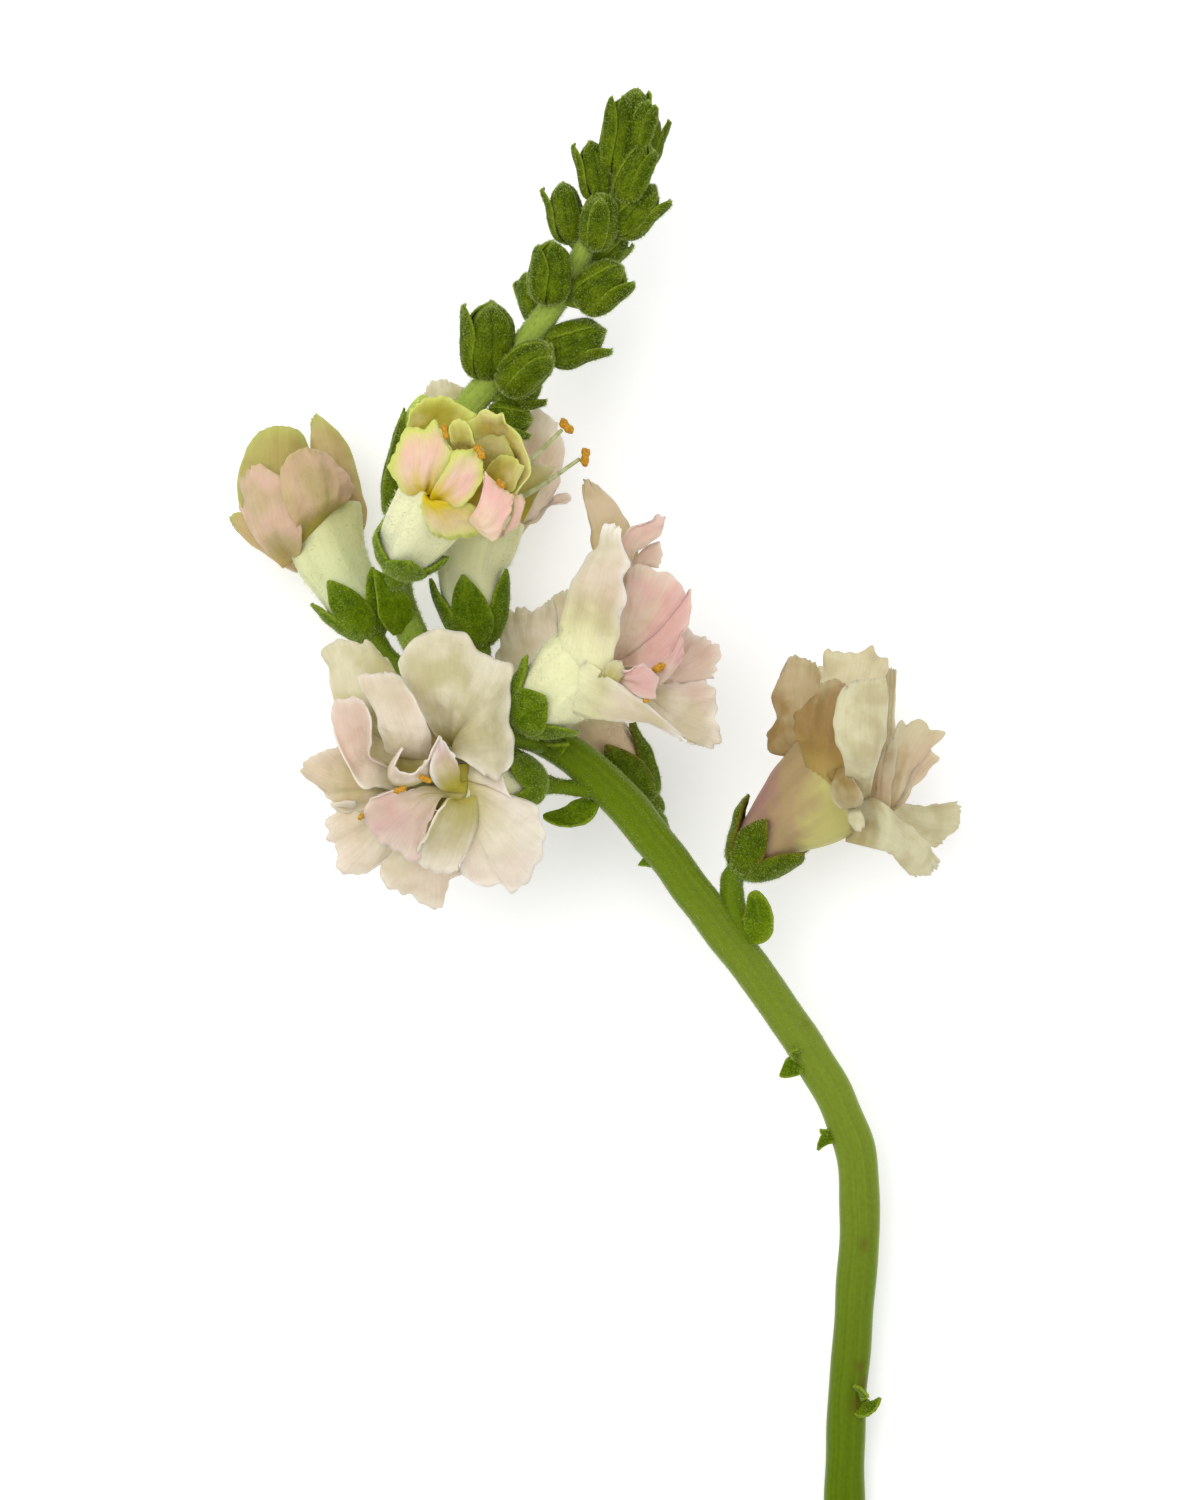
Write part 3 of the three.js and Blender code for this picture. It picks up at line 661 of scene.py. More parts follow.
@dataclass(frozen=True)
class LeafFinish:
    """The finish of sepals, buds and bracts: mottled green with a pale midrib and a coloured rim.

    Its raised lumps and grains are painted lighter and its dips darker: painted light and shade.
    """

    name: str  # the material's name
    body: Colour  # the green of the blade
    light: Colour  # lighter green: partly paler near the foot and a heart's tip, partly a painted highlight on raised lumps
    rib: Colour  # the colour of the midrib
    rim: Colour  # the colour of its edge and tip

    def make(self) -> Material:
        """Builds the material.

        Returns:
            The material.
        """
        recipe = Recipe(self.name)
        patches, grain = recipe.noise(520.0), recipe.noise(3000.0, 2.0)
        # Painted light: the lumps that raise the relief below also lighten the green, so raised parts look lit.
        lightness = recipe.sum(recipe.tint("light"), recipe.spread(patches, 0.34, 0.7, -0.1, 0.24), "ADD", True)
        base = recipe.coats(self.body, (lightness, self.light),
                            (recipe.sum(recipe.tint("rib"), 0.55, "MULTIPLY"), self.rib),
                            (recipe.tint("rim"), self.rim))
        # Painted light and shade: the fine grains of the relief are lighter on their tops and darker in their dips.
        return recipe.finish(
            Base_Color=recipe.lit(base, recipe.spread(grain, 0.35, 0.65, 0.74, 1.26)),
            Normal=recipe.relief((patches, 0.3, 0.0004), (grain, 0.5, 0.00012)),
            Roughness=0.55, Specular_IOR_Level=0.05,
            Subsurface_Weight=0.08, Subsurface_Radius=(0.6, 1.0, 0.1), Subsurface_Scale=0.0006,
            Sheen_Weight=0.3, Sheen_Roughness=DOWNY, Sheen_Tint=(204, 216, 140))


@dataclass(frozen=True)
class StalkFinish:
    """The finish of stalks: olive green, streaked along their length, paler up the spike, with brown scars."""

    name: str  # the material's name
    low: Colour  # the green at the cut end
    middle: Colour  # the green half way
    neck: Colour  # the green below the blooms
    tip: Colour  # the pale green of the spike
    scar: Colour  # the brown of old scars
    pith: Colour  # the pale green of the cut face

    def make(self) -> Material:
        """Builds the material.

        Returns:
            The material.
        """
        recipe = Recipe(self.name)
        streaks, speckle, along = recipe.streaks(26.0, 3.2, 4.0), recipe.noise(1500.0), recipe.tint("along")
        base = recipe.coats(self.low, (recipe.spread(along, 0.02, 0.3), self.middle),
                            (recipe.spread(along, 0.3, 0.5), self.neck),
                            (recipe.spread(along, 0.56, 0.74), self.tip))
        base = recipe.lit(base, recipe.spread(streaks, 0.3, 0.72, 0.88, 1.1))
        base = recipe.lit(base, recipe.spread(speckle, 0.3, 0.7, 0.93, 1.06))
        return recipe.finish(
            Base_Color=recipe.coats(base, (recipe.tint("scar"), self.scar), (recipe.tint("cut"), self.pith)),
            Normal=recipe.relief((streaks, 0.3, 0.0002), (speckle, 0.3, 0.0001)),
            Roughness=recipe.spread(streaks, 0.3, 0.7, 0.36, 0.5), Specular_IOR_Level=0.06,
            Subsurface_Weight=0.12, Subsurface_Radius=(0.6, 1.0, 0.2), Subsurface_Scale=0.0012,
            Sheen_Weight=0.5, Sheen_Roughness=DOWNY, Sheen_Tint=(210, 222, 160))


@dataclass(frozen=True)
class PlainFinish:
    """The finish of grains and down: one colour with lighter and darker grains."""

    name: str  # the material's name
    body: Colour  # its colour
    dark: Colour  # the colour of its darker grains
    grain: float  # grains over a metre
    roughness: float  # how dull it is

    def make(self) -> Material:
        """Builds the material.

        Returns:
            The material.
        """
        recipe = Recipe(self.name)
        grains = recipe.noise(self.grain)
        return recipe.finish(Base_Color=recipe.blend(recipe.spread(grains, 0.35, 0.62), self.dark, self.body),
                             Normal=recipe.relief((grains, 0.6, 0.00018)), Roughness=self.roughness)


# In each petal finish the shade colour is partly painted shade, and the rim colour partly a painted highlight.
OPEN_PETAL = PetalFinish("open_petal", (221, 213, 188), (170, 164, 112), (204, 162, 154), (164, 152, 48),
                         (246, 238, 224), (234, 230, 178))
YOUNG_PETAL = PetalFinish("young_petal", (228, 212, 172), (156, 146, 36), (236, 180, 172), (204, 176, 14),
                          (204, 210, 108), (212, 214, 150))
HOODED_PETAL = PetalFinish("hooded_petal", (168, 162, 96), (160, 134, 76), (214, 176, 154), (150, 136, 48),
                           (176, 180, 98), (160, 146, 62))
AGED_PETAL = PetalFinish("aged_petal", (198, 193, 158), (140, 114, 60), (192, 158, 134), (152, 122, 40),
                         (208, 200, 168), (164, 140, 76))
CREAM_TUBE = TubeFinish("cream_tube", (220, 224, 188), (226, 226, 180), (216, 216, 164), (170, 160, 70))
GREEN_TUBE = TubeFinish("green_tube", (210, 216, 168), (212, 216, 164), (214, 212, 156), (160, 146, 60))
DUSK_TUBE = TubeFinish("dusk_tube", (204, 164, 142), (214, 190, 156), (204, 200, 150), (170, 148, 68))
PINK_TUBE = TubeFinish("pink_tube", (164, 122, 114), (168, 144, 102), (186, 180, 108), (160, 134, 58))
SEPAL = LeafFinish("sepal", (70, 93, 0), (118, 142, 8), (98, 120, 6), (132, 152, 36))
SEPAL_RED = LeafFinish("sepal_red", (62, 80, 0), (104, 126, 8), (86, 108, 6), (112, 92, 26))
BUD = LeafFinish("bud", (58, 76, 0), (112, 130, 8), (34, 48, 0), (128, 146, 34))
HEART = LeafFinish("heart", (126, 150, 40), (176, 194, 96), (150, 170, 70), (176, 190, 92))
STALK_SKIN = StalkFinish("stalk_skin", (84, 108, 0), (114, 132, 38), (94, 116, 8), (146, 166, 66), (92, 68, 20),
                         (160, 174, 96))
LEAF_DOWN = PlainFinish("leaf_down", (184, 202, 110), (156, 178, 80), 900.0, 0.7)
STALK_DOWN = PlainFinish("stalk_down", (200, 214, 144), (176, 194, 112), 900.0, 0.7)
PALE_DOWN = PlainFinish("pale_down", (238, 240, 214), (222, 226, 190), 900.0, 0.6)
POLLEN = PlainFinish("pollen", (204, 146, 4), (160, 112, 0), 3200.0, 0.7)
FILAMENT = PlainFinish("filament", (196, 200, 154), (166, 172, 110), 900.0, 0.5)


# ---- Round bodies and blades ----
def stops(share: Array, count: int) -> tuple[Array, Array]:
    """The stops of a divided line that shares of it lie between.

    Args:
        share: Shares of the line.
        count: How many stops it has.

    Returns:
        The stop before each share, and how far past it the share is.
    """
    at = share * (count - 1)
    low = np.minimum(at.astype(int), count - 2)
    return low, (at - low)[:, None]


def between(rows: Array, low: Array, rest: Array) -> Array:
    """Rows mixed from each stop and the next one."""
    return rows[low] * (1 - rest) + rows[low + 1] * rest


@dataclass(frozen=True)
class Cane:
    """A round body along a smooth line, closed at both ends."""

    stations: Stations  # points of its middle line, each with the radius there
    cells: tuple[int, int] = (24, 14)  # cells along and around it
    ridges: float = 0.02  # depth of its lengthwise ribs, as a share of the radius
    seed: int = 1  # start of the random draw for its unevenness

    def frames(self, count: int, steady: int = 0) -> tuple[Array, Array, Array]:
        """Places along the line, each with two directions across it.

        Args:
            count: How many places.
            steady: Over how many places the direction is evened out, so that a wide body doesn't fold at a bend.

        Returns:
            The places with their radius, and the two directions.
        """
        places = Thread(self.stations).at(np.linspace(0.0, 1.0, count))
        along = unit(np.gradient(places[:, :3], axis=0))
        if steady:
            padded = np.pad(along, ((steady, steady), (0, 0)), mode="edge")
            along = unit(np.stack([np.convolve(row, np.ones(2 * steady + 1), "valid") for row in padded.T], axis=1))
        first = np.empty_like(along)
        across = np.array([0.0, 0.0, 1.0])
        for index, direction in enumerate(along):
            across = unit(across - across @ direction * direction)
            first[index] = across
        return places, first, np.cross(along, first)

    def surface(self) -> Surface:
        """The body's surface.

        Returns:
            A function of u along it and v around it.
        """
        rows = self.cells[0]
        count = 8 * rows + 1
        places, first, second = self.frames(count)
        ribs, uneven = Ripple(self.seed, 4.6, 5.4, 3), Ripple(self.seed + 1, 2.0, 9.0)

        def points(u: Array, v: Array) -> Array:
            """The surface's points.

            Args:
                u: Places along it.
                v: Places around it.

            Returns:
                The points, as rows.
            """
            share = np.clip((u * rows - 1.0) / (rows - 2.0), 0.0, 1.0)
            low, rest = stops(share, count)
            place = between(places, low, rest)
            one, two = unit(between(first, low, rest)), unit(between(second, low, rest))
            angle = math.pi * (v + 1.0)
            closed = np.clip(np.minimum(u, 1.0 - u) * rows * 1.6, 0.0, 1.0)
            swell = 1 + self.ridges * (ribs.at(np.sin(angle) * 0.5) + 0.6 * uneven.at(share))
            radius = place[:, 3] * closed * swell
            return place[:, :3] + radius[:, None] * (np.cos(angle)[:, None] * one + np.sin(angle)[:, None] * two)

        return points

    def skin(self, tints: Tinting = lambda u, v: {}) -> Skin:
        """The body as a skin to build."""
        return Skin(self.surface(), self.cells, tints=tints, wrapped=True)


LEAFLET_WALL = 0.55


@dataclass(frozen=True)
class Leaflet:
    """A pointed blade along a bent middle line: a bract, or the stub of a bloom that fell."""

    foot: Point  # where it grows from
    bend: Point  # what its middle line bends towards
    tip: Point  # where it ends
    width: float  # its greatest width
    facing: Point  # where its inner face looks
    blunt: float = 1.3  # how rounded its end is

    def surface(self) -> Surface:
        """The blade's surface.

        Returns:
            A function of u along it and v across it.
        """
        foot, bend, tip = (np.array(point) for point in (self.foot, self.bend, self.tip))
        facing = np.array(self.facing, float)

        def points(u: Array, v: Array) -> Array:
            """The surface's points.

            Args:
                u: Places along it.
                v: Places across it.

            Returns:
                The points, as rows.
            """
            share = (u * (1 - 0.62 * np.abs(v) ** self.blunt))[:, None]
            middle = foot * (1 - share) ** 2 + 2 * bend * share * (1 - share) + tip * share**2
            along = unit((bend - foot) * (1 - share) + (tip - bend) * share)
            side = unit(np.cross(along, facing))
            up = np.cross(side, along)
            spread = np.sin(np.minimum(share / 0.35, 1.0) * math.pi / 2)
            half = self.width / 2 * (0.5 + 0.5 * spread)
            rib = 0.14 * np.exp(-((v / 0.12) ** 2)) - 0.12 * v * v * self.width * 0.4
            return middle + side * half * v[:, None] - up * rib[:, None]

        return points

    def skin(self) -> Skin:
        """The blade as a skin to build."""
        size = max(6, int(self.width * 3))
        return Skin(self.surface(), (size + 4, size), LEAFLET_WALL, leaf_tints)


def leaf_tints(u: Array, v: Array) -> Tints:
    """The tints of a green blade: its midrib, its rim and the lighter stripes beside the rib.

    Args:
        u: Places along it.
        v: Places across it.

    Returns:
        The tints by name.
    """
    edge = 1 - (1 - np.abs(v) ** 10) * (1 - u**16)
    return {
        "rib": np.exp(-((v / 0.07) ** 2)) * soft_step(0.0, 0.3, u),
        "rim": 0.75 * edge * soft_step(0.1, 0.4, u),
        "light": 0.35 * (1 - u) + 0.1 * np.abs(v),
    }


@dataclass(frozen=True)
class Sepals:
    """Five pointed sepals round an axis, as on a calyx or a bud."""

    foot: Point  # the seat that they stand on
    towards: Point  # what their axis points to
    outline: Outline  # stations of the wall they follow, as height and radius
    half_angle: float = 42.0  # half the angle that a sepal spans at its widest, in degrees
    turn: float = 0.0  # turn of the first sepal about the axis, in degrees
    widest: float = 0.4  # height of the widest place, as a share of the length
    flare: float = 0.5  # how far the tips stand off the wall
    proud: float = 0.0  # how far the first sepal's tip stands off besides
    seed: int = 1  # start of the random draw for their unevenness
    taper: float = 1.7  # how late they narrow; the greater, the rounder their outline
    keel: float = 0.14  # height of the midrib

    def surface(self, index: int) -> Surface:
        """One sepal's surface.

        Args:
            index: Which sepal, from 0.

        Returns:
            A function of u along it and v across it.
        """
        placing = upright(self.foot, self.towards, math.radians(self.turn))
        wall = Thread([(height, radius, 0.0) for height, radius in self.outline])
        draw = np.random.default_rng(self.seed * 17 + index)
        middle = TURN * index / 5 + draw.uniform(-0.06, 0.06) * bool(index)
        outermost = index == 0 and self.proud > 0
        reach = 0.98 if outermost else draw.uniform(0.94, 1.02)
        span, taper = math.radians(self.half_angle), self.taper
        lap = 0.12 if index % 2 else -0.12
        if outermost:
            lap, span, taper = 0.3, span * 0.66, 1.5
        lumps = Lumps(self.seed * 5 + index, 4.0)

        def points(u: Array, v: Array) -> Array:
            """The surface's points.

            Args:
                u: Places along it.
                v: Places across it.

            Returns:
                The points, as rows.
            """
            place = wall.at(u)
            free = np.clip(2 * u - 1, 0.0, 1.0) * outermost
            hugging = np.where(free > 0, wall.at([0.5])[0, 1] * (1 - 0.16 * free**2), place[:, 1])
            late = np.clip((u - self.widest) / (1 - self.widest), 0.0, 1.0)
            early = np.clip(u / self.widest, 0.0, 1.0)
            half = span * (0.7 + 0.3 * early) * (1 - late**taper) ** 0.95 + 0.01
            angle = middle + v * half
            crown = 0.35 * (1 - v * v) + self.keel * np.exp(-((v / 0.1) ** 2)) + lap + 0.16 * v
            radius = hugging + crown * soft_step(0.0, 0.2, u) * soft_step(0.0, 0.1, 1.02 - u)
            radius = radius + self.flare * u**4 + self.proud * free
            height = place[:, 0] * (1 + (reach - 1) * u)
            spots = around(radius, angle, height)
            spots[:, :2] *= (1 + 0.03 * lumps.at(spots))[:, None]
            return placing(spots)

        return points

    def skins(self, cells: tuple[int, int], thickness: float) -> list[Skin]:
        """The sepals as skins to build."""
        return [Skin(self.surface(index), cells, thickness, leaf_tints) for index in range(5)]


# ---- Down ----
SPIKE = ((0, 1, 3), (1, 2, 3), (2, 0, 3), (2, 1, 0))  # a hair's faces: three corners round its root, and its tip
CLEAR_OF_FLOOR = 0.1  # hairs that reach lower than this are left out, in millimetres


@dataclass
class Down:
    """Short hairs, gathered from many surfaces and made as one mesh of slim spikes."""

    radius: float  # radius of a hair at its root in millimetres
    hairs: list[Array] = field(default_factory=list)  # the roots and tips gathered so far

    def grow(self, skin: Skin, count: int, length: float, seed: int, lean: float = 0.35,
             reach: Span = (0.0, 1.0), outward: Array | None = None) -> None:
        """Adds hairs to a surface.

        Args:
            skin: The surface.
            count: How many hairs.
            length: Their usual length.
            seed: Start of the random draw.
            lean: How far they lean along the surface.
            reach: Lowest and highest u that they grow at.
            outward: A point inside the body, that hairs point away from.
        """
        roots, normals, along = skin.roots(count, seed, reach)
        draw = np.random.default_rng(seed + 999)
        if outward is not None:
            away = roots - outward
            away = away - (away * along).sum(1, keepdims=True) * along
            normals = normals * np.where((normals * away).sum(1, keepdims=True) < 0, -1.0, 1.0)
        direction = unit(normals + lean * along + 0.25 * draw.normal(size=roots.shape))
        tips = roots + normals * skin.thickness / 2 + direction * (length * draw.uniform(0.55, 1.25, (count, 1)))
        self.hairs.append(np.stack([roots, tips], axis=1))

    def build(self, name: str) -> Piece:
        """Makes the hairs, each a copy of one slim spike.

        Args:
            name: The new object's name.

        Returns:
            The finished object.
        """
        ends = np.concatenate(self.hairs)
        ends = ends[ends.min(axis=1)[:, 2] > CLEAR_OF_FLOOR]
        along = unit(ends[:, 1] - ends[:, 0])
        first = unit(np.cross(along, np.array([0.31, 0.17, 0.93])))
        second = np.cross(along, first)
        angles = TURN * np.arange(3) / 3
        ring = [ends[:, 0] + self.radius * (math.cos(a) * first + math.sin(a) * second) for a in angles]
        points = np.stack([*ring, ends[:, 1]], axis=1)
        faces = [tuple(4 * i + k for k in face) for i in range(len(points)) for face in SPIKE]
        mesh = bpy.data.meshes.new(name)
        mesh.from_pydata(to_frame(points.reshape(-1, 3)).tolist(), [], faces)
        piece = bpy.data.objects.new(name, mesh)
        bpy.context.scene.collection.objects.link(piece)
        return smoothed(piece)


# ---- Petals ----
PETAL_WALL = 0.22
PETAL_CELL = (0.42, 0.36)  # length and width of a petal's cells, in millimetres


class Tone(Enum):
    """How a petal is tinted: how much blush, shade and throat, how far the throat's colour reaches, how much rim,
    and how much of the rim's colour goes over the whole petal. The shade is partly painted shade, set petal by
    petal to darken the petals that lie in shade and those that face away from the light; the rim is partly a
    painted highlight.
    """

    CREAM = (0.25, 0.25, 0.5, 0.3, 0.4, 0.0)
    PALE = (0.14, 0.05, 0.5, 0.3, 0.3, 0.0)
    DIM = (0.3, 1.1, 0.5, 0.3, 0.3, 0.0)
    FLUSHED = (0.35, 0.0, 0.8, 0.8, 0.8, 0.25)
    CREAM_GREEN = (0.0, 0.9, 0.7, 0.35, 0.3, 0.0)
    NEAR = (0.3, 0.6, 0.0, 0.3, 1.0, 0.0)
    PALE_PINK = (0.5, 0.25, 0.6, 0.35, 0.45, 0.0)
    PEACH = (1.2, 0.25, 0.4, 0.25, 0.3, 0.0)
    GLOWING = (1.2, 0.25, 0.8, 0.5, 0.3, 0.0)
    SALMON = (0.7, 0.6, 0.5, 0.35, 0.3, 0.0)
    DUSTY = (1.1, 0.4, 0.4, 0.3, 0.2, 0.0)
    MAUVE = (1.1, 0.15, 0.1, 0.2, 0.1, 0.0)
    GREENISH = (0.12, 0.6, 1.05, 0.95, 0.5, 0.0)
    TAN = (0.25, 1.1, 0.4, 0.45, 0.2, 0.0)
    DULL = (0.3, 1.5, 0.3, 0.3, 0.0, 0.0)
    WAN = (0.0, 0.1, 0.3, 0.3, 0.2, 0.0)
    UMBER = (0.15, 1.5, 0.6, 0.6, 0.0, 0.0)
    DEEP = (0.0, 0.8, 1.0, 1.4, 0.0, 0.0)
    PINK_YELLOW = (1.1, 0.0, 1.3, 0.68, 1.3, 0.0)
    OLIVE = (0.0, 1.25, 0.6, 0.6, 1.0, 0.1)
    AMBER = (0.1, 1.15, 0.9, 0.95, 0.8, 0.0)
    HOOD = (0.0, 0.75, 0.3, 0.3, 1.0, 0.3)
    VEILED = (0.1, 0.72, 0.55, 0.33, 0.55, 0.0)
    LIP = (0.85, 0.2, 1.3, 0.95, 1.3, 0.1)
    BACK = (0.2, 0.3, 0.4, 0.6, 0.3, 0.0)
    ROSE = (1.0, 0.0, 0.3, 0.25, 0.35, 0.0)
    TAN_LIME = (0.45, 0.7, 0.35, 0.3, 1.0, 0.2)


@dataclass(frozen=True)
class Petal:
    """A petal that fans out from its foot, between two side edges and an outer edge."""

    left: Edge  # its left edge, from the foot to the outer edge
    top: Edge  # its outer edge, from left to right, without the corners
    right: Edge  # its right edge, from the foot to the outer edge
    tone: Tone = Tone.CREAM  # how it is tinted
    bulge: float = 0.8  # how far its middle rises, upwards if positive
    frill: float = 0.5  # height of the ruffles at its rim
    nick: float = 0.2  # depth of the small nicks in its rim
    base: Edge = ()  # its foot between the two side edges, where it isn't straight
    roll: Span = (0.0, 0.0)  # how far its left and right edges curl up
    hug: bool = False  # whether it grows out of the outer side of the tube, and so lies on it at its foot

    def rim(self) -> Array:
        """The points of the outer edge, with both corners."""
        return np.reshape((*self.left[-3:], *self.top, *self.right[-3:]), (-1, 3))

    def surface(self, seed: int, tube: Array) -> Surface:
        """The petal's surface.

        Args:
            seed: Start of the random draw for its ruffles.
            tube: Points on the upper side of the tube, for a petal that hugs it.

        Returns:
            The surface as a function of u from foot to rim and v from side to side.
        """
        left, right = (Thread(np.reshape(edge, (-1, 3))) for edge in (self.left, self.right))
        top, base = Thread(self.rim()), Thread(np.reshape((*self.left[:3], *self.base, *self.right[:3]), (-1, 3)))
        corners = np.array([self.left[:3], self.right[:3], self.left[-3:], self.right[-3:]])
        centre = (left.at([0.6])[0] + right.at([0.6])[0]) / 2
        side = right.at([0.6])[0] - left.at([0.6])[0]
        along = top.at([0.5])[0] - base.at([0.5])[0]
        normal = unit(np.cross(side, along))
        normal = normal if normal[2] >= 0 else -normal
        slow, quick = Ripple(seed, 1.5, 4.5, 4), Ripple(seed + 1, 7.0, 13.0, 5)
        tiny, folds = Ripple(seed + 2, 16.0, 30.0, 6), Ripple(seed + 3, 3.0, 8.0, 5)
        crinkles, creases = Lumps(seed + 4, 3.6), Lumps(seed + 5, 1.9)

        def points(u: Array, v: Array) -> Array:
            """The surface's points.

            Args:
                u: Places along it.
                v: Places across it.

            Returns:
                The points, as rows.
            """
            w = (v + 1) / 2
            us, ws = u[:, None], w[:, None]
            patch = (1 - ws) * left.at(u) + ws * right.at(u) + (1 - us) * base.at(w) + us * top.at(w)
            foot, head = ((1 - ws) * one + ws * other for one, other in (corners[:2], corners[2:]))
            patch -= (1 - us) * foot + us * head
            angle = np.arctan2(v, 1.7 * u + 0.08) / math.pi + 0.5
            rim = (1 - (1 - np.abs(v) ** 5) * (1 - u**6)) * soft_step(0.12, 0.6, u)
            lift = self.bulge * np.sin(math.pi * np.clip(u, 0, 1) ** 0.85) * (1 - v * v)
            lift += self.frill * rim * (0.55 * slow.at(angle) + 0.32 * quick.at(angle))
            lift += self.frill * 0.2 * tiny.at(angle) * rim**3 + 0.16 * folds.at(angle) * u
            lift += self.roll[0] * soft_step(0.72, 1.0, -v) * soft_step(0.0, 0.3, u)
            lift += self.roll[1] * soft_step(0.72, 1.0, v) * soft_step(0.0, 0.3, u)
            outward = patch - centre
            outward = unit(outward - (outward @ normal)[:, None] * normal)
            nicks = self.nick * (0.7 * tiny.at(angle) + 0.6 * quick.at(angle + 0.37)) * rim**4
            lift += soft_step(0.05, 0.35, u) * (0.14 * crinkles.at(patch) - 0.1 * np.abs(creases.at(patch)))
            spots = patch + normal * lift[:, None] + outward * nicks[:, None]
            if self.hug:
                near = u < 0.4
                apart = np.linalg.norm(spots[near, None, :2] - tube[None, :, :2], axis=2)
                weight = 1.0 / (apart**2 + 0.08) ** 3
                floor = (weight @ tube[:, 2]) / weight.sum(axis=1) - 0.3 + 0.55 * soft_step(0.0, 0.09, u[near])
                spots[near, 2] = floor + (spots[near, 2] - floor) * soft_step(0.0, 0.4, u[near])
            spots[:, 2] = np.maximum(spots[:, 2], ABOVE_FLOOR)
            return spots

        return points

    def tints(self, u: Array, v: Array) -> Tints:
        """The petal's tints.

        Args:
            u: Places along it.
            v: Places across it.

        Returns:
            The tints by name.
        """
        blush, shade, throat, reach, rim, wash = self.tone.value
        edge = (1 - (1 - np.abs(v) ** (16 - 9 * rim)) * (1 - u ** (19 - 9 * rim))) * soft_step(0.2, 0.6, u)
        foot = self.hug * min(1.0, max(0.0, 2 * shade - 0.2))
        return {
            "blush": blush * (0.55 + 0.45 * soft_step(0.1, 0.8, u)),
            # Painted shade, with the olive tint: strongest at the foot, deep in the flower, and weaker towards the
            # rim.
            "shade": shade * (1 - 0.45 * u),
            "throat": throat * (1 - soft_step(0.04, reach + 0.08 * np.cos(9 * v), u)),
            # The rim is partly a pale margin and partly a painted highlight along the thin edge.
            "rim": np.maximum(rim * edge, wash * soft_step(0.15, 0.7, u)),
            "foot": foot * (1 - soft_step(0.06, 0.48 + 0.06 * np.cos(7 * v), u)),
        }

    def skin(self, seed: int, tube: Array) -> Skin:
        """The petal as a skin to build, more finely divided the larger it is.

        Args:
            seed: Start of the random draw for its ruffles.
            tube: Points on the upper side of the tube.

        Returns:
            The skin.
        """
        length = np.linalg.norm(np.array(self.left[-3:]) - np.array(self.left[:3]))
        width = np.linalg.norm(np.diff(self.rim(), axis=0), axis=1).sum()
        rows = int(np.clip(length / PETAL_CELL[0], 12, 40))
        columns = int(np.clip(width / PETAL_CELL[1], 12, 64))
        return Skin(self.surface(seed, tube), (rows, columns), PETAL_WALL, self.tints)


# ---- Parts of a bloom ----
LIP = 0.72  # share of a tube's surface that is its outer side, from the foot to the lip


@dataclass(frozen=True)
class Throat:
    """The tube of a corolla: a ribbed funnel with a lip, hollow down to its floor."""

    stations: Stations  # points of its middle line from its foot to its mouth, each with the radius there
    ribs: float = 0.05  # depth of its five folds, as a share of the radius
    seed: int = 1  # start of the random draw for its unevenness
    # how much sooner one flank takes the mouth's colour than the other, as a share of the length
    slant: float = 0.14

    def skin(self) -> Skin:
        """The tube as a skin to build.

        Returns:
            The skin.
        """
        rows, columns = 54, 60
        count = 8 * rows + 1
        places, first, second = Cane(self.stations).frames(count, steady=40)
        lumps = Lumps(self.seed, size=7.0)

        def points(u: Array, v: Array) -> Array:
            """The surface's points.

            Args:
                u: Places along it.
                v: Places around it.

            Returns:
                The points, as rows.
            """
            share = np.where(u < LIP, u / LIP, 1.0 - np.clip((u - LIP) / (1 - LIP), 0, 1) * 0.75)
            inner = soft_step(LIP - 0.01, LIP + 0.05, u)
            low, rest = stops(np.clip(share, 0, 1), count)
            place = between(places, low, rest)
            angle = math.pi * (v + 1.0)
            closed = np.clip(np.minimum(u * rows, (1 - u) * rows) * 1.2, 0.0, 1.0)
            folds = 1 + self.ribs * share * np.cos(5 * angle + self.seed) - 0.12 * inner
            radius = (place[:, 3] * folds)[:, None] * closed[:, None]
            across = np.cos(angle)[:, None] * first[low] + np.sin(angle)[:, None] * second[low]
            spot = place[:, :3] + radius * across
            return spot + across * (0.1 * lumps.at(spot) * closed * (1 - inner))[:, None]

        def tints(u: Array, v: Array) -> Tints:
            """The tints by name."""
            aslant = u / LIP + self.slant * np.sin(math.pi * (v + 1)) * soft_step(0.2, 0.5, u)
            return {"along": np.clip(aslant, 0, 1), "throat": soft_step(LIP, LIP + 0.1, u)}

        return Skin(points, (rows, columns), tints=tints, wrapped=True)

    def lip(self) -> Array:
        """Points round the lip of the mouth."""
        v = np.linspace(-1, 1, 73)[:-1]
        return self.skin().surface(np.full_like(v, LIP), v)

    def upper_side(self) -> Array:
        """Points on the side of the tube that faces up.

        Returns:
            The points, as rows.
        """
        u, v = (grid.ravel() for grid in np.meshgrid(np.linspace(0.05, 0.715, 60), np.linspace(-1, 1, 61)))
        spots = self.skin().surface(u, v)
        axis = Thread(self.stations).at(u / LIP)[:, 2]
        return spots[spots[:, 2] > axis]


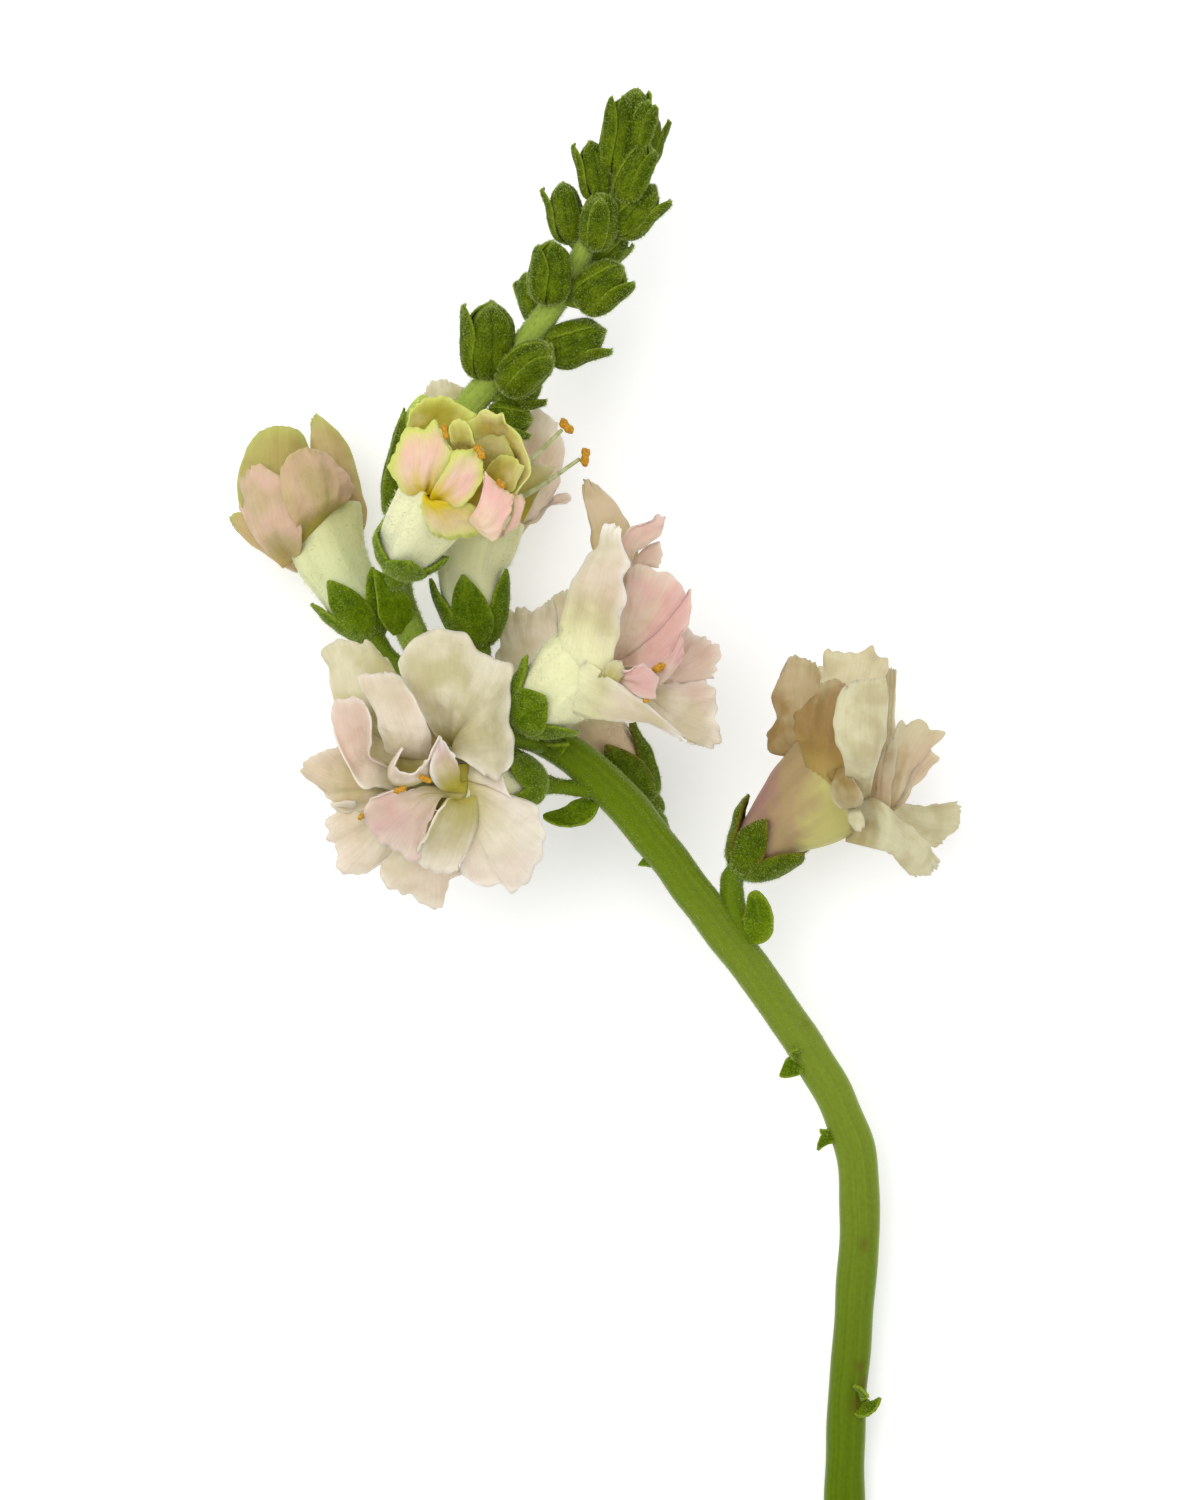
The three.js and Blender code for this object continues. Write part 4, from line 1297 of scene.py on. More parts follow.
@dataclass(frozen=True)
class Stamen:
    """An anther of two pollen sacs, on a filament if it has one."""

    tip: Point  # where the anther sits
    size: Point = (1.0, 0.6, 0.6)  # half its length, width and height
    turn: float = 0.0  # its turn in the plan, in degrees
    filament: tuple[Point, ...] = ()  # the filament's points, from its foot to the anther

    def anther(self, name: str, seed: int) -> Piece:
        """Makes the grainy anther.

        Args:
            name: The new object's name.
            seed: Start of the random draw for its grains.

        Returns:
            The finished object.
        """
        deselect()
        bpy.ops.mesh.primitive_ico_sphere_add(subdivisions=3, radius=1.0)
        piece = added(name)
        ball = corners_of(piece)
        waist = 1 - 0.4 * np.exp(-((ball[:, 0] / 0.3) ** 2))
        ball[:, 1:] *= waist[:, None]
        ball = ball * (1 + 0.1 * Lumps(seed, size=0.9).at(ball))[:, None] * np.array(self.size)
        cosine, sine = math.cos(math.radians(self.turn)), math.sin(math.radians(self.turn))
        turned = ball @ np.array([[cosine, sine, 0], [-sine, cosine, 0], [0, 0, 1]])
        shape(piece, turned + np.array(self.tip))
        return smoothed(piece)

    def stalk(self) -> Skin:
        """The filament as a skin to build, flared under the anther.

        Returns:
            The skin.
        """
        radii = [0.5, 0.42, 0.3, 0.26][: len(self.filament)]
        stations = tuple((*point, radius) for point, radius in zip(self.filament, radii))
        return Cane(stations, cells=(20, 10), ridges=0.0).skin()


@dataclass(frozen=True)
class Calyx:
    """The green cup of five sepals under a corolla."""

    seat: Station  # the end of the flower stalk, with its radius
    towards: Point  # the point that it opens towards
    length: float  # from the seat to the tips
    radius: float  # inner radius half way up
    opening: float  # inner radius at the tips
    turn: float  # turn of the first sepal, in degrees
    flare: float = 0.5  # how far the tips stand off the tube
    broad: float = 46.0  # half the angle that a sepal spans, in degrees

    def axis(self) -> Array:
        """The direction from the seat up the middle of the calyx."""
        return unit(np.array(self.towards) - np.array(self.seat[:3]))

    def sepals(self, seed: int) -> Sepals:
        """The calyx's five sepals.

        Args:
            seed: Start of the random draw.

        Returns:
            The sepals.
        """
        outline = (
            (0.0, self.seat[3] * 0.85),
            (0.5, self.seat[3] + 0.35),
            (0.14 * self.length, 0.62 * self.radius + 0.35),
            (0.45 * self.length, self.radius + 0.3),
            (self.length, self.opening + 0.3),
        )
        return Sepals(self.seat[:3], self.towards, outline, self.broad, self.turn, flare=self.flare, seed=seed)

    def build(self, name: str, seed: int, down: Down) -> Piece:
        """Makes the calyx and grows its down.

        Args:
            name: The new object's name.
            seed: Start of the random draw.
            down: Gathers its hairs.

        Returns:
            The finished object.
        """
        skins = self.sepals(seed).skins(cells=(26, 20), thickness=0.5)
        middle = np.array(self.seat[:3]) + self.axis() * self.length * 0.4
        for index, skin in enumerate(skins):
            down.grow(skin, count=700, length=0.36, seed=seed * 31 + index, reach=(0.02, 0.99), outward=middle)
        return joined(name, [skin.build(f"{name}_{index}") for index, skin in enumerate(skins)])


class BloomStyle(Enum):
    """The finishes of a bloom by its age: its petals, its tube and its calyx."""

    OPEN = (OPEN_PETAL, CREAM_TUBE, SEPAL)
    YOUNG = (YOUNG_PETAL, CREAM_TUBE, SEPAL)
    HOODED = (HOODED_PETAL, GREEN_TUBE, SEPAL)
    AGED = (AGED_PETAL, PINK_TUBE, SEPAL_RED)
    BEHIND = (OPEN_PETAL, DUSK_TUBE, SEPAL_RED)


@dataclass(frozen=True)
class Bloom:
    """A bloom on its flower stalk."""

    number: int  # its place up the stalk, from 1
    stalk: Stations  # the flower stalk's points with their radius, from inside the main stalk to the seat
    calyx: Calyx  # its calyx
    tube: Stations  # the points of its tube beyond the calyx, with their radius
    petals: tuple[Petal, ...]  # its petals
    stamens: tuple[Stamen, ...] = ()  # its stamens
    style: BloomStyle = BloomStyle.OPEN  # its finishes
    ribs: float = 0.05  # depth of the folds of its tube
    fuzz: int = 1500  # how many hairs its tube bears
    slant: float = 0.14  # how much sooner one flank of its tube takes the mouth's colour than the other

    def throat(self) -> Throat:
        """The tube, from its foot in the calyx to its mouth.

        Returns:
            The tube.
        """
        calyx, seat, axis = self.calyx, np.array(self.calyx.seat[:3]), self.calyx.axis()

        def station(height: float, radius: float) -> Station:
            """A point on the axis with a radius."""
            return (*(seat + axis * height), radius)

        inside = (
            station(1.2, 1.2),
            station(0.2 * calyx.length, 0.62 * calyx.radius),
            station(0.45 * calyx.length, calyx.radius - 0.2),
            station(calyx.length, calyx.opening - 0.35),
        )
        return Throat((*inside, *self.tube), self.ribs, self.number, self.slant)

    def rooted(self, petal: Petal, lip: Array) -> Petal:
        """A petal with a narrow claw that joins its foot to the lip of the tube.

        Args:
            petal: The petal.
            lip: Points round the lip.

        Returns:
            The same petal where its foot is on the tube already, or where its foot's edge has its own form.
        """
        foot = np.array([petal.left[:3], petal.right[:3]])
        gap = np.linalg.norm(lip - foot.mean(axis=0), axis=1)
        if petal.hug or petal.base or gap.min() < 0.5:
            return petal
        middle, count = int(gap.argmin()), len(lip)
        forward = lip[(middle + 1) % count] - lip[middle - 1]
        width = np.clip(0.3 * np.linalg.norm(foot[1] - foot[0]), 0.6, 2.0)
        steps = max(1, round(float(width / np.linalg.norm(forward / 2))))
        steps = steps if (foot[1] - foot[0]) @ forward > 0 else -steps
        start, end = lip[(middle - steps) % count], lip[(middle + steps) % count]
        return replace(petal, left=(*start, *petal.left), right=(*end, *petal.right))

    def held(self, stamen: Stamen) -> Stamen:
        """A stamen with a filament that joins its anther to the inside of the tube.

        Args:
            stamen: The stamen.

        Returns:
            The same stamen with its filament.
        """
        if stamen.filament:
            return stamen
        tip = np.array(stamen.tip)
        root = np.array(self.tube[-1][:3]) - 2.0 * self.calyx.axis()
        root = root + 0.2 * (tip - root) * np.array([1, 1, 0])
        bend = tip * np.array([1, 1, 0]) + np.array([0, 0, 0.45 * tip[2] + 0.55 * root[2]])
        return replace(stamen, filament=(tuple(root), tuple(bend), tuple(tip - np.array([0, 0, 0.2]))))

    def build(self, finishes: "Finishes", green: Down, pale: Down) -> None:
        """Makes the bloom's pieces and dresses them.

        Args:
            finishes: The shared materials.
            green: Gathers the hairs of the calyx.
            pale: Gathers the hairs of the tube.
        """
        petal_finish, tube_finish, leaf_finish = self.style.value
        name, seed = f"bloom_{self.number}", 100 * self.number
        calyx = self.calyx.build(f"{name}_sepals", self.number, green)
        dress(calyx, finishes.of(leaf_finish), Slot.CALYX, f"{name}_calyx")
        throat = self.throat()
        tube, upper_side = throat.skin(), throat.upper_side()
        pale.grow(tube, self.fuzz, length=0.62, seed=seed, reach=(0.12, 0.7), outward=np.array(self.tube[0][:3]))
        dress(tube.build(f"{name}_tube"), finishes.of(tube_finish), Slot.PETAL, f"{name}_corolla")
        lip = throat.lip()
        petals = [self.rooted(petal, lip) for petal in self.petals]
        skins = [petal.skin(seed + 7 * index, upper_side) for index, petal in enumerate(petals)]
        blades = [skin.build(f"{name}_petal_{index}") for index, skin in enumerate(skins)]
        dress(joined(f"{name}_petals", blades), finishes.of(petal_finish), Slot.PETAL, f"{name}_corolla")
        if self.stamens:
            stamens = list(enumerate(self.stamens))
            grains = [stamen.anther(f"{name}_anther_{index}", seed + index) for index, stamen in stamens]
            dress(joined(f"{name}_anthers", grains), finishes.of(POLLEN), Slot.PETAL, f"{name}_corolla")
            threads = [self.held(stamen).stalk().build(f"{name}_thread_{index}") for index, stamen in stamens]
            dress(joined(f"{name}_filaments", threads), finishes.of(FILAMENT), Slot.PETAL, f"{name}_corolla")


class Finishes:
    """The materials, each made once."""

    def __init__(self) -> None:
        """Starts with no material."""
        self.made: dict[str, Material] = {}

    def of(self, finish: PetalFinish | TubeFinish | LeafFinish | StalkFinish | PlainFinish) -> Material:
        """The material of a finish, made when it is first asked for.

        Args:
            finish: The finish.

        Returns:
            Its material.
        """
        if finish.name not in self.made:
            self.made[finish.name] = finish.make()
        return self.made[finish.name]


# ---- The green parts ----
# Places on the stalk's range of greens that colour the smaller stalks.
BUD_STALK_TONE = 0.62
FLOWER_STALK_TONE = 0.55

# Heights and radii of the sepals' wall and of the heart, as shares of a bud's length and half its width.
CLOSED_WALL = (
    (0.0, 0.3), (0.06, 0.6), (0.25, 0.88), (0.55, 0.9), (0.78, 0.74), (0.9, 0.5), (0.98, 0.16), (1.0, 0.0),
)
OPENING_WALL = ((0.0, 0.3), (0.06, 0.6), (0.25, 0.92), (0.5, 0.92), (0.62, 0.88))
HEART_WALL = (
    (0.0, 0.3), (0.06, 0.6), (0.25, 0.88), (0.55, 0.88), (0.78, 0.68), (0.9, 0.44), (0.97, 0.14), (0.98, 0.0),
)


@dataclass(frozen=True)
class Bud:
    """A closed green bud: a rounded heart in five sepals, the outermost with its tip standing off."""

    foot: Point  # where it grows
    tip: Point  # its top
    width: float  # its greatest width
    showing: float = 0.0  # how much of its length the pale petals stand out of the sepals

    def length(self) -> float:
        """From the foot to the tip."""
        return float(np.linalg.norm(np.array(self.tip) - np.array(self.foot)))

    def middle(self) -> Array:
        """The point half way up."""
        return (np.array(self.foot) + np.array(self.tip)) / 2

    def build(self, name: str, seed: int, away: Array, down: Down) -> Piece:
        """Makes the bud and its down.

        Args:
            name: The new object's name.
            seed: Start of the random draw.
            away: The direction away from the stalk, which the outermost sepal is on.
            down: Gathers its hairs.

        Returns:
            The finished object.
        """
        length, half = self.length(), self.width / 2
        level = upright((0, 0, 0), np.array(self.tip) - np.array(self.foot), 0.0)
        one, two = level(np.eye(3)[:2])
        away = unit(away) + np.array([0, 0, 0.3])
        turn = math.degrees(math.atan2(away @ two, away @ one))
        outline = (*OPENING_WALL, (1 - self.showing, 0.8)) if self.showing else CLOSED_WALL
        wall = tuple((height * length, max(radius * half - 0.1, 0.02)) for height, radius in outline)
        taper = 1.7 if self.showing else 7.0
        sepals = Sepals(self.foot, self.tip, wall, half_angle=50.0, turn=turn, widest=0.5, flare=0.06,
                        proud=0.09 * self.width, seed=seed, taper=taper, keel=-0.16)
        skins = sepals.skins(cells=(22, 16), thickness=0.32)
        for index, skin in enumerate(skins):
            down.grow(skin, int(70 * self.width), length=0.34, seed=seed * 13 + index, outward=self.middle())
        return joined(name, [skin.build(f"{name}_{index}") for index, skin in enumerate(skins)])

    def heart(self, name: str) -> Piece:
        """Makes the closed petals inside the sepals.

        Args:
            name: The new object's name.

        Returns:
            The finished object.
        """
        length = self.length()
        line = Thread([(height * length, radius * self.width / 2, 0.0) for height, radius in HEART_WALL])
        placing = upright(self.foot, self.tip, 0.0)
        inset = -0.05 if self.showing else 0.35

        def core(u: Array, v: Array) -> Array:
            """The surface's points.

            Args:
                u: Places along it.
                v: Places around it.

            Returns:
                The points, as rows.
            """
            place = line.at(u)
            closed = np.where((u <= 0) | (u >= 1), 0.0, 1.0)
            seams = 1 - 0.06 * np.abs(np.sin(2.5 * math.pi * v)) ** 6 * soft_step(0.3, 0.8, u)
            radius = np.maximum(place[:, 1] - inset, 0.05) * seams * closed
            return placing(around(radius, math.pi * (v + 1), place[:, 0] + 0.05))

        def tints(u: Array, v: Array) -> Tints:
            """The tints by name."""
            return {"light": 0.2 + 0.8 * soft_step(0.6, 0.95, u), "rib": 0.0 * u, "rim": 0.0 * u}

        return Skin(core, (22, 24), tints=tints, wrapped=True).build(name)


@dataclass(frozen=True)
class Stem:
    """The main stalk with its flower stalks, its spike of buds, its bracts and its scars."""

    stalk: Stations  # the stalk's points with their radius, from the cut end to the tip
    buds: tuple[Bud, ...]  # the green buds
    bracts: tuple[Leaflet, ...]  # bracts and the stubs of blooms that fell
    scars: Stations  # brown places, with their radius

    def nearest(self, point: Array) -> Array:
        """The point of the stalk's middle line that is nearest to a point."""
        line = Thread(self.stalk).at(np.linspace(0, 1, 400))[:, :3]
        return line[np.linalg.norm(line - point, axis=1).argmin()]

    def main_stalk(self) -> Skin:
        """The main stalk as a skin to build.

        Returns:
            The skin.
        """
        cane = Cane(self.stalk, cells=(260, 44), ridges=0.012, seed=5)
        surface = cane.surface()
        wave = Lumps(seed=3, size=11.0)

        def points(u: Array, v: Array) -> Array:
            """The points, as rows, with a slight sway."""
            spots = surface(u, v)
            return spots + np.array([0.16, 0.0, 0.0]) * wave.at(spots)[:, None]

        def tints(u: Array, v: Array) -> Tints:
            """The stalk's tints.

            Args:
                u: Places along it.
                v: Places around it.

            Returns:
                The tints.
            """
            spots = points(u, v)
            scar = np.zeros_like(u)
            for x, y, z, size in self.scars:
                distance = np.linalg.norm(spots - np.array([x, y, z]), axis=1)
                scar = np.maximum(scar, np.exp(-((distance / size) ** 2)))
            return {"along": u, "scar": 0.8 * scar, "cut": 1.0 - soft_step(0.0, 0.005, u)}

        return Skin(points, cane.cells, tints=tints, wrapped=True)

    def bud_stalks(self) -> list[Skin]:
        """The short stalks of the buds, as skins to build.

        Returns:
            The skins, in the buds' order.
        """
        skins = []
        for index, bud in enumerate(self.buds):
            foot = np.array(bud.foot)
            root, end = self.nearest(foot), foot + unit(np.array(bud.tip) - foot) * 0.6
            stations = ((*root, 0.9), (*(root * 0.4 + foot * 0.6), 0.85), (*end, 1.0))
            cane = Cane(stations, cells=(8, 10), ridges=0.0, seed=index)
            skins.append(cane.skin(lambda u, v: {"along": BUD_STALK_TONE + 0 * u}))
        return skins

    def flower_stalks(self, blooms: Sequence[Bloom], fringe: Down) -> list[Skin]:
        """The stalks of the blooms, as skins to build, with their hairs.

        Args:
            blooms: The blooms.
            fringe: Gathers the hairs.

        Returns:
            The skins, in the blooms' order.
        """
        skins = []
        for bloom in blooms:
            seat, axis, radius = np.array(bloom.calyx.seat[:3]), bloom.calyx.axis(), bloom.calyx.seat[3]
            stations = (*bloom.stalk, (*(seat - 1.2 * axis), radius), (*(seat + 0.4 * axis), radius))
            cane = Cane(stations, cells=(26, 18), ridges=0.03, seed=bloom.number)
            skin = cane.skin(lambda u, v: {"along": FLOWER_STALK_TONE + 0 * u})
            fringe.grow(skin, count=550, length=0.36, seed=80 + bloom.number, reach=(0.15, 0.95), lean=0.2)
            skins.append(skin)
        return skins

    def build(self, finishes: Finishes, blooms: Sequence[Bloom], down: Down, fringe: Down) -> None:
        """Makes the green pieces and dresses them.

        Args:
            finishes: The shared materials.
            blooms: The blooms, for their flower stalks.
            down: Gathers the hairs of buds and bracts.
            fringe: Gathers the hairs of stalks.
        """
        main = self.main_stalk()
        fringe.grow(main, count=10000, length=0.45, seed=71, reach=(0.62, 0.99), lean=0.2)
        fringe.grow(main, count=6500, length=0.2, seed=72, reach=(0.3, 0.62), lean=0.2)
        canes = [main, *self.flower_stalks(blooms, fringe), *self.bud_stalks()]
        stalk = joined("stalk", [skin.build(f"cane_{index}") for index, skin in enumerate(canes)])
        dress(stalk, finishes.of(STALK_SKIN), Slot.STALK, "stem")
        buds = []
        for index, bud in enumerate(self.buds):
            away = bud.middle() - self.nearest(bud.middle())
            buds.append(bud.build(f"bud_{index}", 40 + index, away, down))
        dress(joined("buds", buds), finishes.of(BUD), Slot.CALYX, "stem")
        for finish, showing in ((BUD, False), (HEART, True)):
            name = "opening_heart" if showing else "hearts"
            chosen = [bud for bud in self.buds if bool(bud.showing) == showing]
            hearts = [bud.heart(f"{name}_{index}") for index, bud in enumerate(chosen)]
            dress(joined(name, hearts), finishes.of(finish), Slot.CALYX, "stem")
        bracts = []
        for index, bract in enumerate(self.bracts):
            skin = bract.skin()
            down.grow(skin, int(60 * bract.width), length=0.3, seed=300 + index)
            bracts.append(skin.build(f"bract_{index}"))
        dress(joined("bracts", bracts), finishes.of(SEPAL), Slot.CALYX, "stem")


# ---- The studio ----
SENSOR = 36.0  # the camera's sensor in millimetres
WHITE = (1.0, 1.0, 1.0, 1.0)
FLOOR_GREY = (0.82, 0.82, 0.82, 1.0)


@dataclass(frozen=True)
class Studio:
    """A plain pale floor, soft light from the upper left, and a camera that looks straight down."""

    middle: Span = (0.0008, 0.0132)  # the point under the camera, in metres
    focus: float = 0.02  # height of the blooms' middle, in metres
    lens: float = 300.0  # the lens in millimetres
    tall: float = 0.225  # height of the view at the blooms, in metres

    def camera(self) -> None:
        """Sets up the camera."""
        data = bpy.data.cameras.new("camera")
        data.lens = self.lens
        data.sensor_width = SENSOR
        data.clip_start, data.clip_end = 0.01, 20.0
        camera = bpy.data.objects.new("camera", data)
        camera.location = (*self.middle, self.focus + self.tall * self.lens / SENSOR)
        bpy.context.scene.collection.objects.link(camera)
        bpy.context.scene.camera = camera

    def light(self, name: str, place: Point, size: float, power: float) -> None:
        """Sets up one soft box that looks at the stem.

        Args:
            name: Its name.
            place: Where it stands, in metres.
            size: Its diameter in metres.
            power: Its power in watts.
        """
        data = bpy.data.lights.new(name, "AREA")
        data.shape, data.size, data.energy = "DISK", size, power
        lamp = bpy.data.objects.new(name, data)
        lamp.location = place
        direction = np.array([*self.middle, self.focus]) - np.array(place)
        flat = math.hypot(direction[0], direction[1])
        lamp.rotation_euler = (math.atan2(flat, -direction[2]), 0.0, math.atan2(-direction[0], direction[1]))
        bpy.context.scene.collection.objects.link(lamp)

    def floor(self) -> None:
        """Makes the floor."""
        deselect()
        bpy.ops.mesh.primitive_plane_add(size=6.0, location=(0, 0, 0))
        floor = added("floor")
        material = bpy.data.materials.new("pale_floor")
        material.use_nodes = True
        shader = material.node_tree.nodes["Principled BSDF"]
        looks = {"Base Color": FLOOR_GREY, "Emission Color": WHITE, "Emission Strength": 0.32, "Roughness": 0.9,
                 "Specular IOR Level": 0.1}
        for socket, value in looks.items():
            shader.inputs[socket].default_value = value
        floor.data.materials.append(material)

    def build(self) -> None:
        """Sets up the floor, the lights and the camera."""
        self.floor()
        self.light("key", (-0.45, 0.4, 1.2), size=1.3, power=10.5)
        self.light("fill", (0.9, -0.3, 0.8), size=1.0, power=2.6)
        world = bpy.data.worlds.new("studio")
        world.use_nodes = True
        background = world.node_tree.nodes["Background"]
        background.inputs["Color"].default_value = WHITE
        background.inputs["Strength"].default_value = 0.68
        bpy.context.scene.world = world
        bpy.context.scene.view_settings.view_transform = "Standard"
        self.camera()


# ---- The stem's own numbers ----
STALK = (
    (37, -125.2, 3.2, 3.05), (37, -112.5, 3.6, 3.1), (37.4, -97.5, 4.7, 3.0), (38.5, -84, 6, 3.0),
    (39.3, -71.2, 7.3, 3.0), (38.4, -60, 8.6, 2.95), (35.4, -52.2, 9.7, 2.95), (30.3, -43.5, 11.2, 3.0),
    (23.6, -34, 13, 3.0),
    (16.5, -24.8, 14.8, 3.0), (9.4, -15.1, 16.7, 3.0), (2.5, -6.8, 18.7, 3.0), (-3.4, -1.3, 20.1, 2.85),
    (-10.8, 2.9, 21, 2.7), (-19.5, 7.8, 21.3, 2.5), (-26.2, 14.2, 21, 2.35), (-29.7, 21, 20.6, 2.3),
    (-30.4, 28.5, 20.2, 2.2), (-28.8, 36, 20, 2.2), (-24.8, 44.2, 20, 2.2), (-18.8, 52.5, 20.3, 2.2),
    (-8.8, 64.2, 21.2, 1.85), (-2.2, 75.5, 22, 1.6), (1.8, 84.8, 22.6, 1.25), (4.5, 93.8, 23, 0.8),
)

BUDS = (
    Bud((-16.9, 55.5, 20.6), (-16.5, 67, 22.5), 8.4), Bud((-8.2, 59.5, 21), (0.6, 63, 20), 6.6),
    Bud((-14.5, 54, 23.4), (-7.5, 60.4, 26.6), 6.8), Bud((-15, 52.2, 20.6), (-9, 54.6, 19.6), 4.8),
    Bud((-16.8, 49.8, 20.4), (-10.2, 49.5, 21.2), 5.2), Bud((-7.8, 66.9, 23), (-7.2, 76, 25.6), 6.6),
    Bud((-8.7, 64.2, 19), (-10.8, 71.7, 15.6), 4.8), Bud((-3.3, 66.6, 22.6), (3.6, 72.3, 24.4), 6.8),
    Bud((-1.2, 72.9, 20.4), (3.3, 78, 17.6), 5.6), Bud((-0.9, 75, 23.4), (0.3, 83.1, 26), 5.4),
    Bud((-4.2, 76, 21.6), (-5.8, 84.8, 21.4), 5.2), Bud((2.1, 77.5, 22), (8.2, 84.5, 22), 6.4),
    Bud((0, 82.2, 22.8), (-1.6, 91.3, 22.8), 4.8), Bud((3.3, 82.2, 24), (6.9, 90.5, 25.6), 4.8),
    Bud((1.8, 86.2, 23.8), (3.3, 97.8, 24.6), 4.8), Bud((3.9, 87.8, 22), (5.5, 99, 22.8), 5.4),
    Bud((5.1, 89.7, 24.4), (7.3, 96.9, 25.2), 3.6), Bud((5.7, 87, 22), (8.2, 95.1, 22.4), 4.4),
    Bud((-30.6, 34, 21), (-26.2, 53.6, 24.4), 6.8, 0.14),
)

BRACTS = (
    Leaflet((-29.7, 17.7, 22.4), (-30.6, 22.5, 27.4), (-33.9, 27, 27), 5.4, (-0.3, 0.1, -1)),
    Leaflet((-1.0, -7.4, 18.6), (-3.6, -11.2, 20.5), (-8.6, -9.8, 19.5), 4.2, (0, 0.5, 1), 2.0),
    Leaflet((22.4, -28, 16.6), (25.2, -26, 18.8), (22.8, -21.2, 18.4), 5.4, (-0.5, 0, 1), 2.6),
    Leaflet((-6.6, -0.3, 22.6), (-7.8, 1.8, 26.5), (-4.5, 0.9, 28), 3.8, (0.2, 0.7, 0.8)),
    Leaflet((30.4, -46.5, 11.4), (28.5, -48.3, 14), (27, -49.2, 13), 3.2, (0.3, 0.5, 1)),
    Leaflet((30.4, -46.5, 11.4), (29.5, -45.3, 14.6), (28.5, -45.6, 15), 2.4, (0.3, -0.5, 1)),
    Leaflet((36, -57.9, 8.8), (33.9, -57.9, 11), (32.7, -60.6, 10.4), 2.4, (0.3, 0.3, 1)),
    Leaflet((36, -57.9, 8.8), (34.2, -58.5, 10.4), (33.1, -57.1, 10.4), 2.0, (0.3, -0.3, 1)),
    Leaflet((38.4, -98.2, 5), (40.2, -101.1, 8.4), (42.4, -97.5, 8.6), 3.2, (-0.3, 0.5, 1)),
    Leaflet((38.7, -96.8, 5), (39.3, -96.9, 9.6), (40.5, -97.8, 9.4), 2.8, (-0.3, -0.5, 1)),
    Leaflet((8.2, -16.8, 16.2), (6.9, -16.5, 17), (5.7, -17.4, 16.4), 1.8, (0, 0.3, 1)),
)

SCARS = (
    (39.6, -93.2, 8.2, 1.0), (40.0, -95.6, 6.4, 1.2), (39.9, -74.7, 10.4, 0.9), (31.5, -41, 14.2, 0.8),
    (-5.3, -5.2, 20, 1.2), (38.9, -98.9, 7.6, 1.1), (33.4, -58.6, 11.6, 0.9),
)

